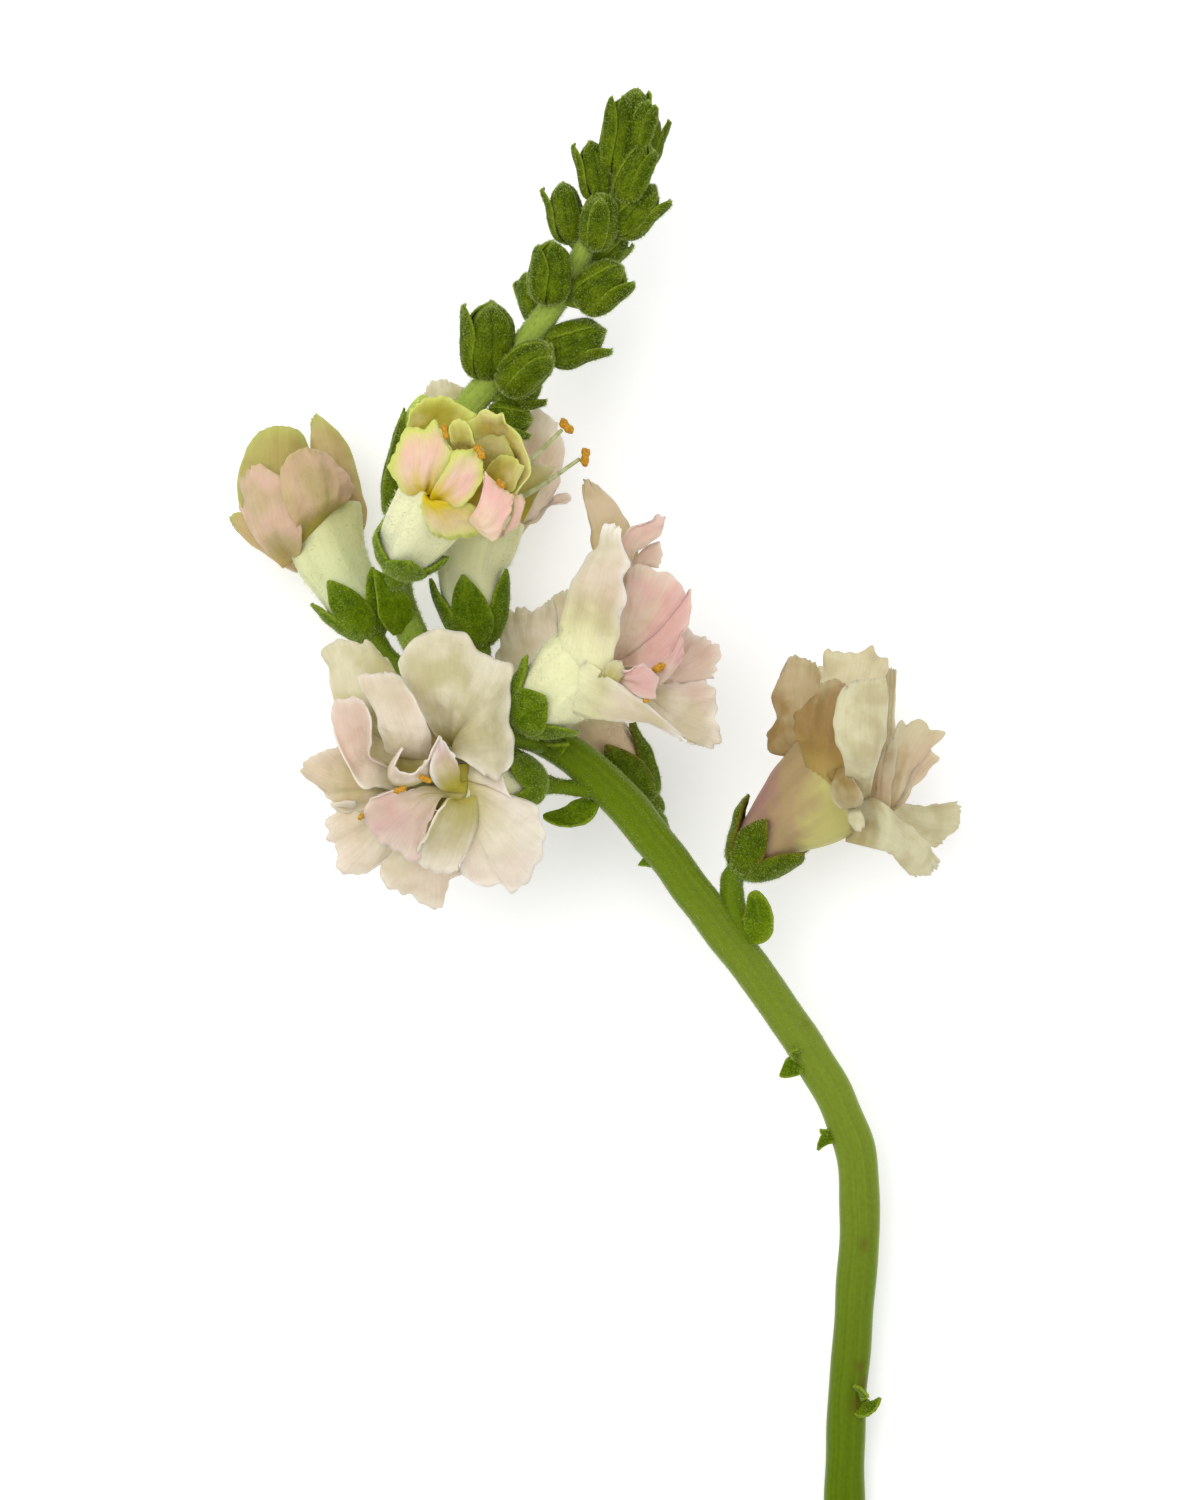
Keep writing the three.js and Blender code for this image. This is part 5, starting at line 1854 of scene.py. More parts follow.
# The lowest bloom: an ageing one that lies on its side, its tube flushed pink.
LOWEST_BLOOM = Bloom(
    number=1,
    stalk=((22.6, -28.5, 13.8, 2.3), (20.5, -24.6, 14.8, 1.9), (19.8, -21, 15, 1.8)),
    calyx=Calyx((20.7, -18.3, 15.2, 1.7), (28.5, -9.8, 17.2), length=9.8, radius=4.3, opening=5.7, turn=65),
    tube=((30.4, -8.7, 17.6, 7.0), (35.2, -4.9, 18.0, 8.3)),
    petals=(
        Petal((36.8, -6, 10, 37.5, -3, 5, 42.8, 0.8, 0.9), (45.3, 0.3, 0.8, 45.8, -3, 0.8), (38.7, -9.3, 10,
          41.2, -7.5, 4, 45, -6, 0.9), Tone.TAN, 0.2, 0.1),
        Petal((30.9, -1.5, 18, 28.9, -1.1, 17.5, 27.1, -0.8, 17, 25.5, -0.3, 17, 25.1, 1.1, 17, 25, 2.2, 17,
          26.3, 4, 17.5, 26.2, 6.8, 18, 26, 8.2, 18, 26.6, 10.3, 18.5, 27.8, 12.6, 19.5), (28.6, 14.1, 20,
          29.8, 13.9, 20.5, 31, 13.7, 20.5), (33.3, 1.5, 19, 33.9, 6.8, 20, 33.3, 10.1, 20, 32.9, 12.4, 20),
          Tone.TAN, 1.2, 0.6, 0.3),
        Petal((33.9, 1.5, 22, 33.3, 6.8, 22, 33.1, 10.5, 21.5, 32.9, 12.3, 21), (33.4, 13, 21, 34, 15.4, 21,
          34.9, 14.8, 21, 36.8, 14.5, 21, 38.8, 14.7, 21, 40.8, 15.6, 21, 41.5, 14.4, 21, 43, 13.7, 21,
          43.2, 12.6, 21), (39.3, 1.5, 23, 41.4, 7.5, 22.5, 42.9, 11.1, 21.5), Tone.PALE, 1.0, 0.7, 0.3),
        Petal((30.9, -2.7, 24, 30.1, 0, 26, 29.4, 1.8, 27, 28.9, 3, 27, 29.2, 5, 27, 30.4, 6.6, 27, 31.5, 7.8, 27),
          (32.7, 9, 27, 33.4, 10.2, 27, 35.5, 10.5, 27, 36.6, 9.9, 27), (36.3, -7.2, 26, 36.6, -2.2, 28,
          36, 1.9, 29, 35.7, 5.2, 29, 36, 7.8, 28), Tone.UMBER, 0.8, 0.5, 0.3, hug=True),
        Petal((35.7, -7.5, 30, 36.6, -3.8, 34, 35.9, -0.4, 36, 34.9, 1.6, 36.5, 34.8, 3.8, 36.5, 35.4, 7.5, 36,
          36.8, 9.4, 35), (37.9, 10.3, 34, 39, 10.5, 33.5, 40.3, 10.6, 33, 41.5, 10.8, 32.5), (40.8, -10.8, 30,
          40.5, -5.2, 33.5, 41.4, -1.6, 35, 42.3, 1.1, 35, 42.9, 4.6, 34, 43, 7.6, 33, 42.6, 10.9, 32), Tone.WAN,
          2.0, 0.6, 0.25, hug=True),
        Petal((42, -1.5, 16, 42.6, 4.6, 16, 42.9, 8.8, 16, 43, 12.3, 16), (43.8, 12.2, 16), (43.9, -1.5, 16,
          44.2, 5, 16, 44.5, 12, 16), Tone.CREAM, 0.3, 0.3),
        Petal((42.6, -8.4, 24, 42.6, -3.8, 26, 43.5, 0.8, 28, 44.4, 3.8, 28, 45, 4.2, 28), (45.9, 3.8, 27.5,
          46.8, 4.2, 27, 47.9, 4.5, 26.5, 49.2, 3.4, 26, 51.5, 2.5, 25, 51.2, 1.6, 25, 49.5, 0.4, 25,
          50.3, -1.3, 24.5), (43.8, -9.3, 24, 45.8, -7.8, 24.5, 46.8, -5.4, 25, 48.6, -3.9, 24.5, 50.3, -2.8, 24.5),
          Tone.PALE_PINK, 0.8, 0.5, 0.3),
        Petal((40.8, -6.3, 26, 41.4, -3.3, 27, 42.6, 0.3, 28), (43.5, 1.8, 28.5), (43.2, -8.7, 26, 43.4, -6, 27,
          44.1, -1.5, 28, 44.4, 1.5, 28.5), Tone.PALE_PINK, 0.6, 0.2),
        Petal((41.7, -7.5, 14, 45.6, -8.1, 12.5, 48, -8.4, 11.5, 50.7, -8.2, 10.5, 53.9, -7.8, 9.5), (54.3, -9, 9.3,
          54, -11.7, 9.3, 52.5, -13.1, 9.8), (42, -12, 14, 45, -12.3, 12.5, 47.1, -13.5, 11.5, 49.5, -14.4, 10.5,
          51.2, -14.6, 10), Tone.WAN, 0.8, 0.6, 0.25),
        Petal((36.9, -9.3, 28.5, 40.2, -7.2, 31.5, 42.6, -8.1, 30, 44.7, -10.2, 27, 47.1, -12, 25,
          49.5, -14.7, 22.5, 51.2, -16.6, 20.5), (50.6, -17.8, 20, 49.8, -18.3, 20, 48.9, -18.8, 20),
          (36.9, -13.8, 25, 41.1, -14.8, 27, 43.2, -15.3, 26.5, 45, -17.2, 24, 46.5, -18.8, 22), Tone.WAN, 1.2, 0.5,
          0.25, hug=True),
        Petal((35.4, -3, 27, 34.9, -4.8, 29, 34.5, -7.2, 30, 35.8, -8.7, 30.5), (37.5, -8.7, 30.5), (36.4, -2.4, 28,
          37.9, -4.2, 31, 39.1, -6.9, 32, 38.8, -8.2, 30.5), Tone.CREAM_GREEN, 0.8, 0.3, 0.1),
        Petal((36.9, -8.7, 28, 37, -10.2, 29.5, 37.8, -11.7, 30), (38.7, -12.3, 30), (38.4, -8.7, 28.5,
          39.3, -9.8, 30, 39.4, -11.4, 30), Tone.WAN, 0.5, 0.2, 0.1),
    ),
    style=BloomStyle.AGED,
    fuzz=0,
    slant=0.4,
)

# The bloom behind the stalk, half hidden, its petals dull and beige.
BLOOM_BEHIND_STALK = Bloom(
    number=2,
    stalk=((9.3, -13.8, 15.2, 1.7), (8.7, -10.8, 12.4, 1.4), (7.9, -9.3, 11, 1.4)),
    calyx=Calyx((7.4, -7.6, 10.4, 1.7), (0.2, 1.6, 12), length=12.0, radius=4.0, opening=4.9, turn=20),
    tube=((-1, 4.2, 12.4, 5.5), (-3.8, 8.1, 12.6, 5.9)),
    petals=(
        Petal((-3.8, 7.5, 8, -6, 9, 3, -9.8, 12.3, 1.1), (-11.4, 15, 1, -9.8, 17.2, 1), (-1.5, 9.8, 8,
          -3.8, 12.8, 3, -7, 16.5, 1.1), Tone.TAN, 0.2, 0.1),
        Petal((-6, 9, 13, -11.1, 8.4, 13.5, -14.2, 10.8, 13, -15.3, 13.5, 12.5, -15.3, 17.1, 12), (-14.8, 19.8, 12,
          -14.2, 21.3, 12, -13.2, 21.3, 12, -12, 21.6, 12, -10.8, 21.1, 12, -9.7, 20.8, 12, -8.8, 21.4, 12,
          -7.9, 22.2, 12), (-3.8, 10.5, 13, -5.7, 15, 14, -6.6, 19.5, 13.5, -7, 22.5, 12.5), Tone.BACK,
          1.4, 0.8, 0.3),
        Petal((-3.8, 10.5, 12.5, -6, 16.5, 13.5, -7.2, 20.7, 12.5, -7.9, 22.5, 12), (-6.6, 23.4, 12,
          -5.2, 24.1, 12), (-1.2, 10.5, 12, -2.2, 16.5, 12.5, -3, 22.5, 12, -4.2, 24.3, 12), Tone.BACK,
          0.8, 0.5, 0.3),
        Petal((-6, 8.2, 12, -9.8, 10.5, 12.5, -13.5, 12.9, 11), (-14.2, 13.5, 11, -14.5, 15, 11), (-5.2, 12, 12,
          -9, 14.2, 12.5, -12.8, 15.9, 11), Tone.PEACH, 0.6),
    ),
    style=BloomStyle.BEHIND,
)

# The largest bloom, wide open, with crumpled petals crowded round a greenish throat.
FRONT_BLOOM = Bloom(
    number=3,
    stalk=((0.4, -6, 19, 1.6), (-3.8, -5.7, 20.2, 1.25), (-6.6, -5.4, 21.2, 1.2)),
    calyx=Calyx((-8.8, -5.1, 22, 1.5), (-19.5, -4.3, 30), length=10.4, radius=3.9, opening=4.9, turn=20, broad=54),
    tube=((-19.5, -4.2, 30.2, 4.9), (-22.6, -3.9, 32.6, 5.2)),
    petals=(
        Petal((-28.5, -9.3, 32.5, -34.2, -6.8, 32.5, -36.6, 0, 33, -37.2, 5.7, 34), (-33.8, 9, 35, -29.2, 9, 35),
          (-21.8, -9.3, 32.5, -19.8, -4.5, 32.5, -20.7, 1.5, 33, -24, 7.5, 34), Tone.GREENISH, 0.5, 0.3, 0.1),
        Petal((-32.2, 1.2, 35, -36, 4.2, 36, -39.4, 6.9, 34, -39.9, 9, 33.5, -40.5, 12, 32.5, -41.4, 14.2, 31.5),
          (-40.8, 15.6, 31, -38.5, 16.3, 31.5, -36.4, 15.9, 32.5, -35.4, 15.8, 33.5, -34.8, 16.5, 33.5,
          -33.6, 15.6, 33.5, -32.4, 14.2, 33.5), (-30.3, 2.2, 36, -29.5, 7.5, 36, -30, 10.5, 36, -31.8, 12.9, 34),
          Tone.CREAM_GREEN, 1.2, 0.8, 0.3),
        Petal((-32.2, -7.5, 34, -37.2, -9.3, 32, -39.9, -8.1, 30.5), (-40.8, -6.9, 29.5, -42.3, -5.5, 28.5,
          -43.9, -4.3, 27.5, -44.6, -2.9, 27.5, -44.2, -1.9, 28, -42.9, -0.9, 29, -41.1, -0.1, 30.5),
          (-32.5, -3.8, 35, -36, -2.2, 33.5, -39.1, 0.6, 32.5), Tone.DIM, 0.8, 0.6, 0.25),
        Petal((-31.2, -6, 34, -35.2, -7.5, 33, -38.2, -7.6, 32, -39.9, -8.1, 31), (-39.7, -9.2, 30.5,
          -41.2, -10.7, 29.5, -40.5, -11.8, 29.5, -40.4, -13.5, 29.5, -39.7, -14.4, 29, -38.9, -17.6, 28.5,
          -37.9, -18.4, 28, -36.5, -18.8, 28, -35.4, -18.7, 28, -34.5, -17.8, 28.5), (-28.2, -7.5, 35.5,
          -29.2, -11.2, 35, -30.8, -14.8, 32, -32.5, -16.6, 30), Tone.CREAM, 1.0, 0.8, 0.3),
        Petal((-27, -9.8, 34, -29.5, -13.2, 33, -31.5, -15.8, 31, -32.5, -16.6, 30), (-32.9, -17.8, 29.5,
          -31.9, -20.1, 29, -30.1, -21.3, 28.5, -27.9, -22.1, 28, -24.4, -23.8, 27, -23.6, -22.9, 27.5,
          -22.8, -20.7, 28.5, -22.5, -19.5, 29, -21.1, -18.4, 30), (-24, -9.3, 34, -22.2, -12.8, 33.5,
          -20.7, -16.5, 32, -20.7, -18.1, 31), Tone.CREAM, 1.0, 0.8, 0.3),
        Petal((-22.2, -7.5, 34, -21.6, -12, 33.5, -21.1, -16.2, 32, -20.7, -18.3, 31), (-19.1, -19.8, 30,
          -16.9, -20.2, 29, -14.7, -20.1, 28.5, -13.5, -21, 28, -11.8, -20.7, 28.5, -11.2, -19.8, 29,
          -9.5, -17.6, 30, -8.5, -15.5, 31, -8.1, -12.6, 32, -8.7, -10, 33, -10.1, -8.1, 33, -11.8, -7.3, 33,
          -13.3, -6.9, 35.5, -13.9, -5.2, 36, -14.4, -3.8, 36), (-20.4, -2.7, 36, -18.3, -1.8, 36.5,
          -15.3, -2.4, 36), Tone.FLUSHED, 1.8, 0.8, 0.3),
        Petal((-23.2, 0.9, 35, -26.7, 5.7, 39.5, -28.5, 9, 40, -29.7, 11.5, 38.5), (-30, 13.2, 37.5,
          -29.4, 14.7, 37, -27.9, 16.3, 36.5, -25.6, 17.6, 36, -23, 17.8, 36, -20.4, 17.4, 35.5, -19.2, 16.3, 36,
          -17.8, 14.5, 35.5, -16.2, 14.1, 35, -14.5, 13.3, 34.5, -13.1, 12.8, 34, -13.4, 10, 35, -13.5, 7.2, 35.5,
          -13.3, 4, 36, -12.6, 1.2, 36, -12.9, -1.2, 36), (-22.5, -0.6, 36.5, -20.4, -1.5, 38.5, -17.6, -3.4, 38.5,
          -15.6, -4.3, 37.5, -13.8, -3.1, 36.5), Tone.VEILED, 2.5, 0.9, 0.3),
        Petal((-33, -5.2, 38, -35.4, -5, 39, -37.9, -1.2, 40, -39.3, 2.2, 39.5, -39.9, 4.8, 38), (-39.9, 5.7, 38,
          -39.4, 6.9, 38.5, -38.1, 7.5, 39.5, -36.6, 8.1, 40, -35.7, 8, 40.5), (-31.8, -2.2, 38, -34.2, -0.9, 40.5,
          -33.9, 1.2, 41.5, -33.9, 4.3, 42, -34.5, 6.6, 41.5), Tone.PALE_PINK, -1.0, roll=(0.6, 0.5)),
        Petal((-30.3, -3.3, 40, -30.3, 0, 39), (-27.8, 0.8, 38), (-25.2, -2.7, 40, -24.9, 0, 39), Tone.DEEP,
          -0.6, 0.2, 0),
        Petal((-31.5, -0.3, 38, -32.1, 1.5, 41, -32.9, 3.4, 43, -33.8, 6.3, 43, -35.4, 9, 42, -35.7, 10.8, 40.5),
          (-34.5, 11.2, 41, -32.5, 11.4, 41.5), (-24.9, -1.1, 39, -25.1, 0.8, 41.5, -25.2, 2.9, 43, -26.7, 6.6, 44,
          -28.2, 8.8, 43.5, -29.7, 10.9, 41.5), Tone.CREAM, 1.5, 0.6, 0.25),
        Petal((-22.8, -6.8, 39, -24, -7.9, 41, -25.8, -10.7, 40.5, -26.7, -12.9, 39), (-26.9, -15, 37.5,
          -26.7, -17.1, 36, -24.4, -18.1, 35, -21.8, -18.1, 34.5, -20.7, -16.5, 35), (-19.5, -5.4, 34.5,
          -17.1, -6, 33, -16.8, -8.1, 31.5, -17.7, -11.7, 31, -19.2, -14.4, 31), Tone.GREENISH, 0.6, 0.4, 0.15,
          roll=(1.0, 0.0)),
        Petal((-25.8, -5.4, 38.5, -27.9, -6, 40, -30.8, -6, 40.5, -33, -6.9, 40), (-34.2, -7.5, 39, -35.1, -9.3, 38,
          -34.8, -10.9, 37, -33.4, -12.6, 36.5, -31.8, -14.2, 36, -30, -15.3, 36, -28.3, -16.2, 36.2),
          (-23.4, -7, 38.5, -24.4, -8.7, 39.5, -25.5, -11.4, 39.3, -26.8, -16.5, 37), Tone.GLOWING, 1.5, 0.6, 0.25),
        Petal((-23.4, -6, 39, -25.1, -3.6, 43, -24.9, -1.2, 44.5, -24.1, 0.9, 44.5), (-23.6, 2, 45),
          (-20.7, -4.8, 37.5, -20.7, -2.7, 39, -21.8, -0.9, 41, -23.1, 1.2, 44), Tone.LIP, 0.8, 0.4, 0.15),
        Petal((-30, -0.3, 41, -29.1, 0.3, 45), (-30, -1.1, 45, -30.4, -2.5, 44.5, -29.4, -3.4, 44, -27.3, -3.3, 44,
          -26.1, -2.2, 44.5, -25.2, -0.6, 45), (-23.8, 0.8, 44, -23.7, 1.9, 46), Tone.PALE_PINK, 0.0, 0.3, 0.1,
          base=(-31.3, -2.4, 41, -31.3, -4.5, 40.5, -29.7, -5.4, 40.5, -27.3, -5.1, 40.5, -25.5, -3.9, 41,
          -24.4, -1.5, 42)),
    ),
    stamens=(
        Stamen((-29.6, -5.9, 42.6), (1.0, 0.6, 0.6), 20),
        Stamen((-25.9, -4.3, 43.4), (1.0, 0.6, 0.6), -20),
        Stamen((-35.5, -9.9, 39.2), (0.6, 0.4, 0.4), 60),
        Stamen((-19.8, -10, 35.8), (0.5, 0.4, 0.4), -60, ((-22.2, -7.5, 36.4), (-21.3, -8.4, 36.6),
            (-20.4, -9.4, 36.2), (-19.8, -10, 35.8))),
    ),
)

# The bloom at the bend of the stalk, its tube seen from the side and its petals pink and cream.
BLOOM_AT_BEND = Bloom(
    number=4,
    stalk=((-8.2, 1.2, 21.4, 1.8), (-10.8, 1.3, 25, 1.4), (-13.5, 2.4, 28.2, 1.4)),
    calyx=Calyx((-12.9, 4.3, 29, 1.7), (-4.8, 10, 31.6), length=8.2, radius=4.6, opening=6.0, turn=0, broad=58),
    tube=((-3.3, 11.7, 32, 6.6), (0.3, 13.2, 32.6, 7.4)),
    petals=(
        Petal((-1.5, 16.5, 30, -1.2, 24, 29, -1.1, 30.6, 28.5, -1.8, 34.5, 28, -2.5, 37.5, 27.5, -2.5, 39.4, 27.3),
          (-2.4, 40.2, 27.2, -1.8, 40.5, 27.2, -1.2, 40, 27.3), (1.8, 16.5, 29, 5.4, 25.5, 28.5, 5.1, 31.5, 28,
          4, 34.5, 27.8, 2.7, 36.6, 27.6, 0.8, 38.4, 27.4, -0.4, 39.3, 27.3), Tone.DULL, 1.0, 0.6, 0.3),
        Petal((1.8, 26.2, 33, 3.3, 29.2, 33, 3.3, 31.6, 33.5, 4.6, 33.1, 33.5, 7.2, 33.7, 33, 8.2, 34.4, 32.5),
          (8.5, 35.1, 32, 9.6, 34.6, 32), (4.2, 25.5, 33, 5.1, 29.1, 33, 7.8, 31, 33, 9, 32.1, 32.5,
          8.7, 33.1, 32.3), Tone.PEACH, 0.5, 0.4),
        Petal((3.3, 24, 31, 5, 28.2, 31.5, 7.2, 30, 31, 8.5, 30.5, 31), (8.8, 31.1, 31, 9.3, 29.1, 31), (6, 24, 31,
          6.5, 27.3, 31.5, 8.7, 27.1, 31), Tone.PEACH, 0.5, 0.4),
        Petal((8.2, 10.5, 31, 10.3, 14.2, 30.5, 12, 17.4, 30, 12.8, 18.8, 29.8), (14.4, 17.1, 29, 15.4, 16.8, 29,
          16.5, 16.3, 28.5, 17.6, 15.6, 28.5, 17.7, 12.8, 28.5, 16.7, 11, 29), (9, 9.6, 31, 12.4, 9.9, 30.5,
          15.6, 10.7, 29.5), Tone.PALE_PINK, 1.0, 0.7, 0.3),
        Petal((6.8, 9.8, 33, 9.8, 9.9, 33, 13.5, 10.2, 31, 15.6, 10.7, 30), (16.7, 9.3, 29.5, 17.1, 7.9, 29.5,
          17.4, 6.6, 29, 17.2, 4.2, 28.5, 17.7, 2.9, 28, 18.2, 1.8, 27.5, 17.8, 0.9, 27.5, 16.9, 0.4, 28,
          15.6, 0.6, 28.5), (6, 7.5, 34, 8.2, 4.5, 34, 10.8, 2.1, 32, 14.4, 0.7, 29.5), Tone.PALE_PINK,
          1.2, 0.8, 0.3),
        Petal((1.2, 12.9, 36, 2.4, 16.5, 38, 3.1, 21.8, 38.5, 3.8, 24.8, 38, 3.9, 26.8, 37), (5.8, 27.4, 37,
          7.8, 27, 37, 9.6, 26.6, 37, 10.8, 25.8, 37, 11.8, 24.8, 37.5, 12.8, 23.1, 37.5, 13.6, 24, 37.5,
          13.4, 20.8, 38, 13, 18.4, 38), (3.3, 12.3, 36, 5.8, 12.4, 37, 8.4, 12.2, 37.5, 10.7, 14.4, 38,
          12.2, 16.2, 38), Tone.DUSTY, -1.5, 0.6, 0.25),
        Petal((7.2, 11.1, 36, 8.4, 12.2, 37.5, 10.7, 14.4, 38.5, 12.2, 17.6, 38.5), (12.4, 15.6, 38,
          12.3, 13.8, 37.5), (8.1, 9.9, 36, 8.7, 9.6, 37, 9.6, 10.2, 37.5, 11.5, 12.2, 37.5), Tone.MAUVE,
          1.0, 0.4, 0.1),
        Petal((-6.6, 16.2, 38, -5.7, 19.8, 39.5, -4.8, 23.1, 40.5, -3.8, 25.9, 40.5, -1.8, 28.8, 40,
          -0.3, 30.8, 39.5, 0.6, 33.4, 38.5), (1.5, 33.6, 38.5, 2.5, 33.1, 38.5), (-0.3, 7.5, 38, 1.2, 9.9, 40.5,
          1.9, 12.8, 41.5, 2.2, 15, 42, 2.9, 17.1, 42.5, 2.9, 19.6, 42.5, 3.8, 21.9, 42.5, 3.8, 23.7, 42.3,
          3.3, 25.8, 42, 4.3, 27.4, 41.5, 3.9, 29.1, 40.5, 3.1, 31.3, 39.5, 3.3, 32.9, 38.8), Tone.NEAR, 1.2, 0.6,
          0.3, hug=True),
        Petal((0.9, 11.1, 39, 1.8, 11.7, 41, 2.7, 12.2, 41.5), (4.3, 11.8, 42, 5.4, 12.4, 42, 6.4, 12.8, 42,
          7.8, 11.5, 42, 8.7, 10.5, 41.5), (1.8, 10.2, 39, 4.3, 8.7, 41, 6.8, 7.5, 41.5, 8.1, 7.8, 41.5),
          Tone.PEACH, 0.6, 0.4),
        Petal((-3.3, 14.2, 38, -0.6, 12.3, 41.5, 2.1, 10.2, 42, 5.8, 7.5, 41, 9, 5, 39.5, 11.5, 2.7, 37.5),
          (13, 1.3, 36.5), (-4.5, 5.7, 34, -1.2, 4.6, 38, 1.5, 4.3, 39, 3.8, 4.2, 39.5, 6.8, 4, 39, 9.6, 2.7, 37.5,
          11.8, 1.3, 36.5), Tone.NEAR, 0.9, 0.4, hug=True),
        Petal((-0.3, 10.8, 41, 0.6, 12.2, 41.5), (1.8, 13.2, 41.5, 3.1, 13, 41.5), (2.1, 9.6, 41, 3.9, 11.7, 41.5),
          Tone.DEEP, 0.6, 0.2, 0.1),
    ),
    stamens=(
        Stamen((8.7, 12.2, 40.5), (1.0, 0.75, 0.7), 30),
        Stamen((6.8, 7.3, 42.3), (0.5, 0.35, 0.35), 10),
    ),
    ribs=0.06,
    fuzz=2600,
)

# The bloom behind the spike's foot, with two stamens that stand out of its mouth.
BLOOM_WITH_STAMENS = Bloom(
    number=5,
    stalk=((-12.8, 4.2, 20.6, 1.6), (-14.7, 9, 19, 1.3), (-17.4, 12.8, 18.1, 1.3)),
    calyx=Calyx((-18.1, 15.6, 18, 1.7), (-19.3, 24.8, 18.2), length=11.0, radius=4.3, opening=5.3, turn=54),
    tube=((-19.1, 30, 18.2, 5.9), (-17.4, 35.7, 17.2, 6.2)),
    petals=(
        Petal((-17.2, 36, 11, -16.5, 40.5, 4, -15.8, 44.2, 1.2), (-13.2, 46.5, 0.9, -10.5, 44.2, 1.1),
          (-13.5, 36, 11, -11.2, 39.8, 4, -10.2, 42, 1.2), Tone.TAN, 0.2, 0.1),
        Petal((-21, 37.5, 14, -24, 45, 12.5, -26.1, 51, 12, -26.4, 53.7, 12), (-25.5, 55.5, 12, -23.6, 55.8, 12,
          -22.2, 55.4, 12), (-18.8, 38.2, 14, -18.8, 46.5, 13, -19.5, 52.5, 12, -20.4, 54.3, 12), Tone.CREAM_GREEN,
          1.0, 0.6, 0.25),
        Petal((-15.6, 31.5, 14, -13.5, 40.5, 14, -12, 48, 13.5, -10.8, 51, 13), (-10, 51.6, 12.5, -7.8, 50.2, 12.5,
          -6.3, 49.4, 12.5, -6.5, 48.3, 12.5, -5.4, 46.9, 12.5, -5.4, 44.7, 12.5, -5.7, 42.4, 12.5),
          (-12.9, 31.5, 14, -10.7, 33.8, 14, -8.8, 36.1, 13.5, -7.2, 37.5, 13, -6.6, 39, 13), Tone.PALE_PINK,
          1.2, 0.7, 0.3),
        Petal((-9.8, 35.2, 13.5, -7.5, 37.9, 13.2, -6, 38.6, 13), (-4.8, 38.7, 13, -4.3, 37.9, 13),
          (-9.3, 34.5, 13.5, -8.2, 36.4, 13.3, -7, 36.9, 13.1, -4.9, 37.1, 13), Tone.PALE_PINK, 0.4, 0.3, 0.1),
        Petal((-12.3, 36.8, 19, -12, 39, 20, -10.8, 42, 20.5, -10.3, 43, 20.8), (-9, 43, 21, -7.6, 42.6, 21,
          -6.5, 42.4, 21), (-10.8, 36, 19, -10.2, 38.2, 20, -8.8, 40.8, 20.5), Tone.DEEP, 0.5, 0.3, 0.15),
    ),
    stamens=(
        Stamen((-5, 48.4, 24.6), (1.35, 0.85, 0.7), -48, ((-16.5, 37.5, 17), (-10.5, 43.2, 22),
            (-5.7, 47.9, 24.3))),
        Stamen((-2.2, 43.9, 24.2), (1.45, 0.85, 0.7), 82, ((-16.5, 35.7, 17), (-9.8, 39, 22), (-3, 43.6, 23.8))),
    ),
)

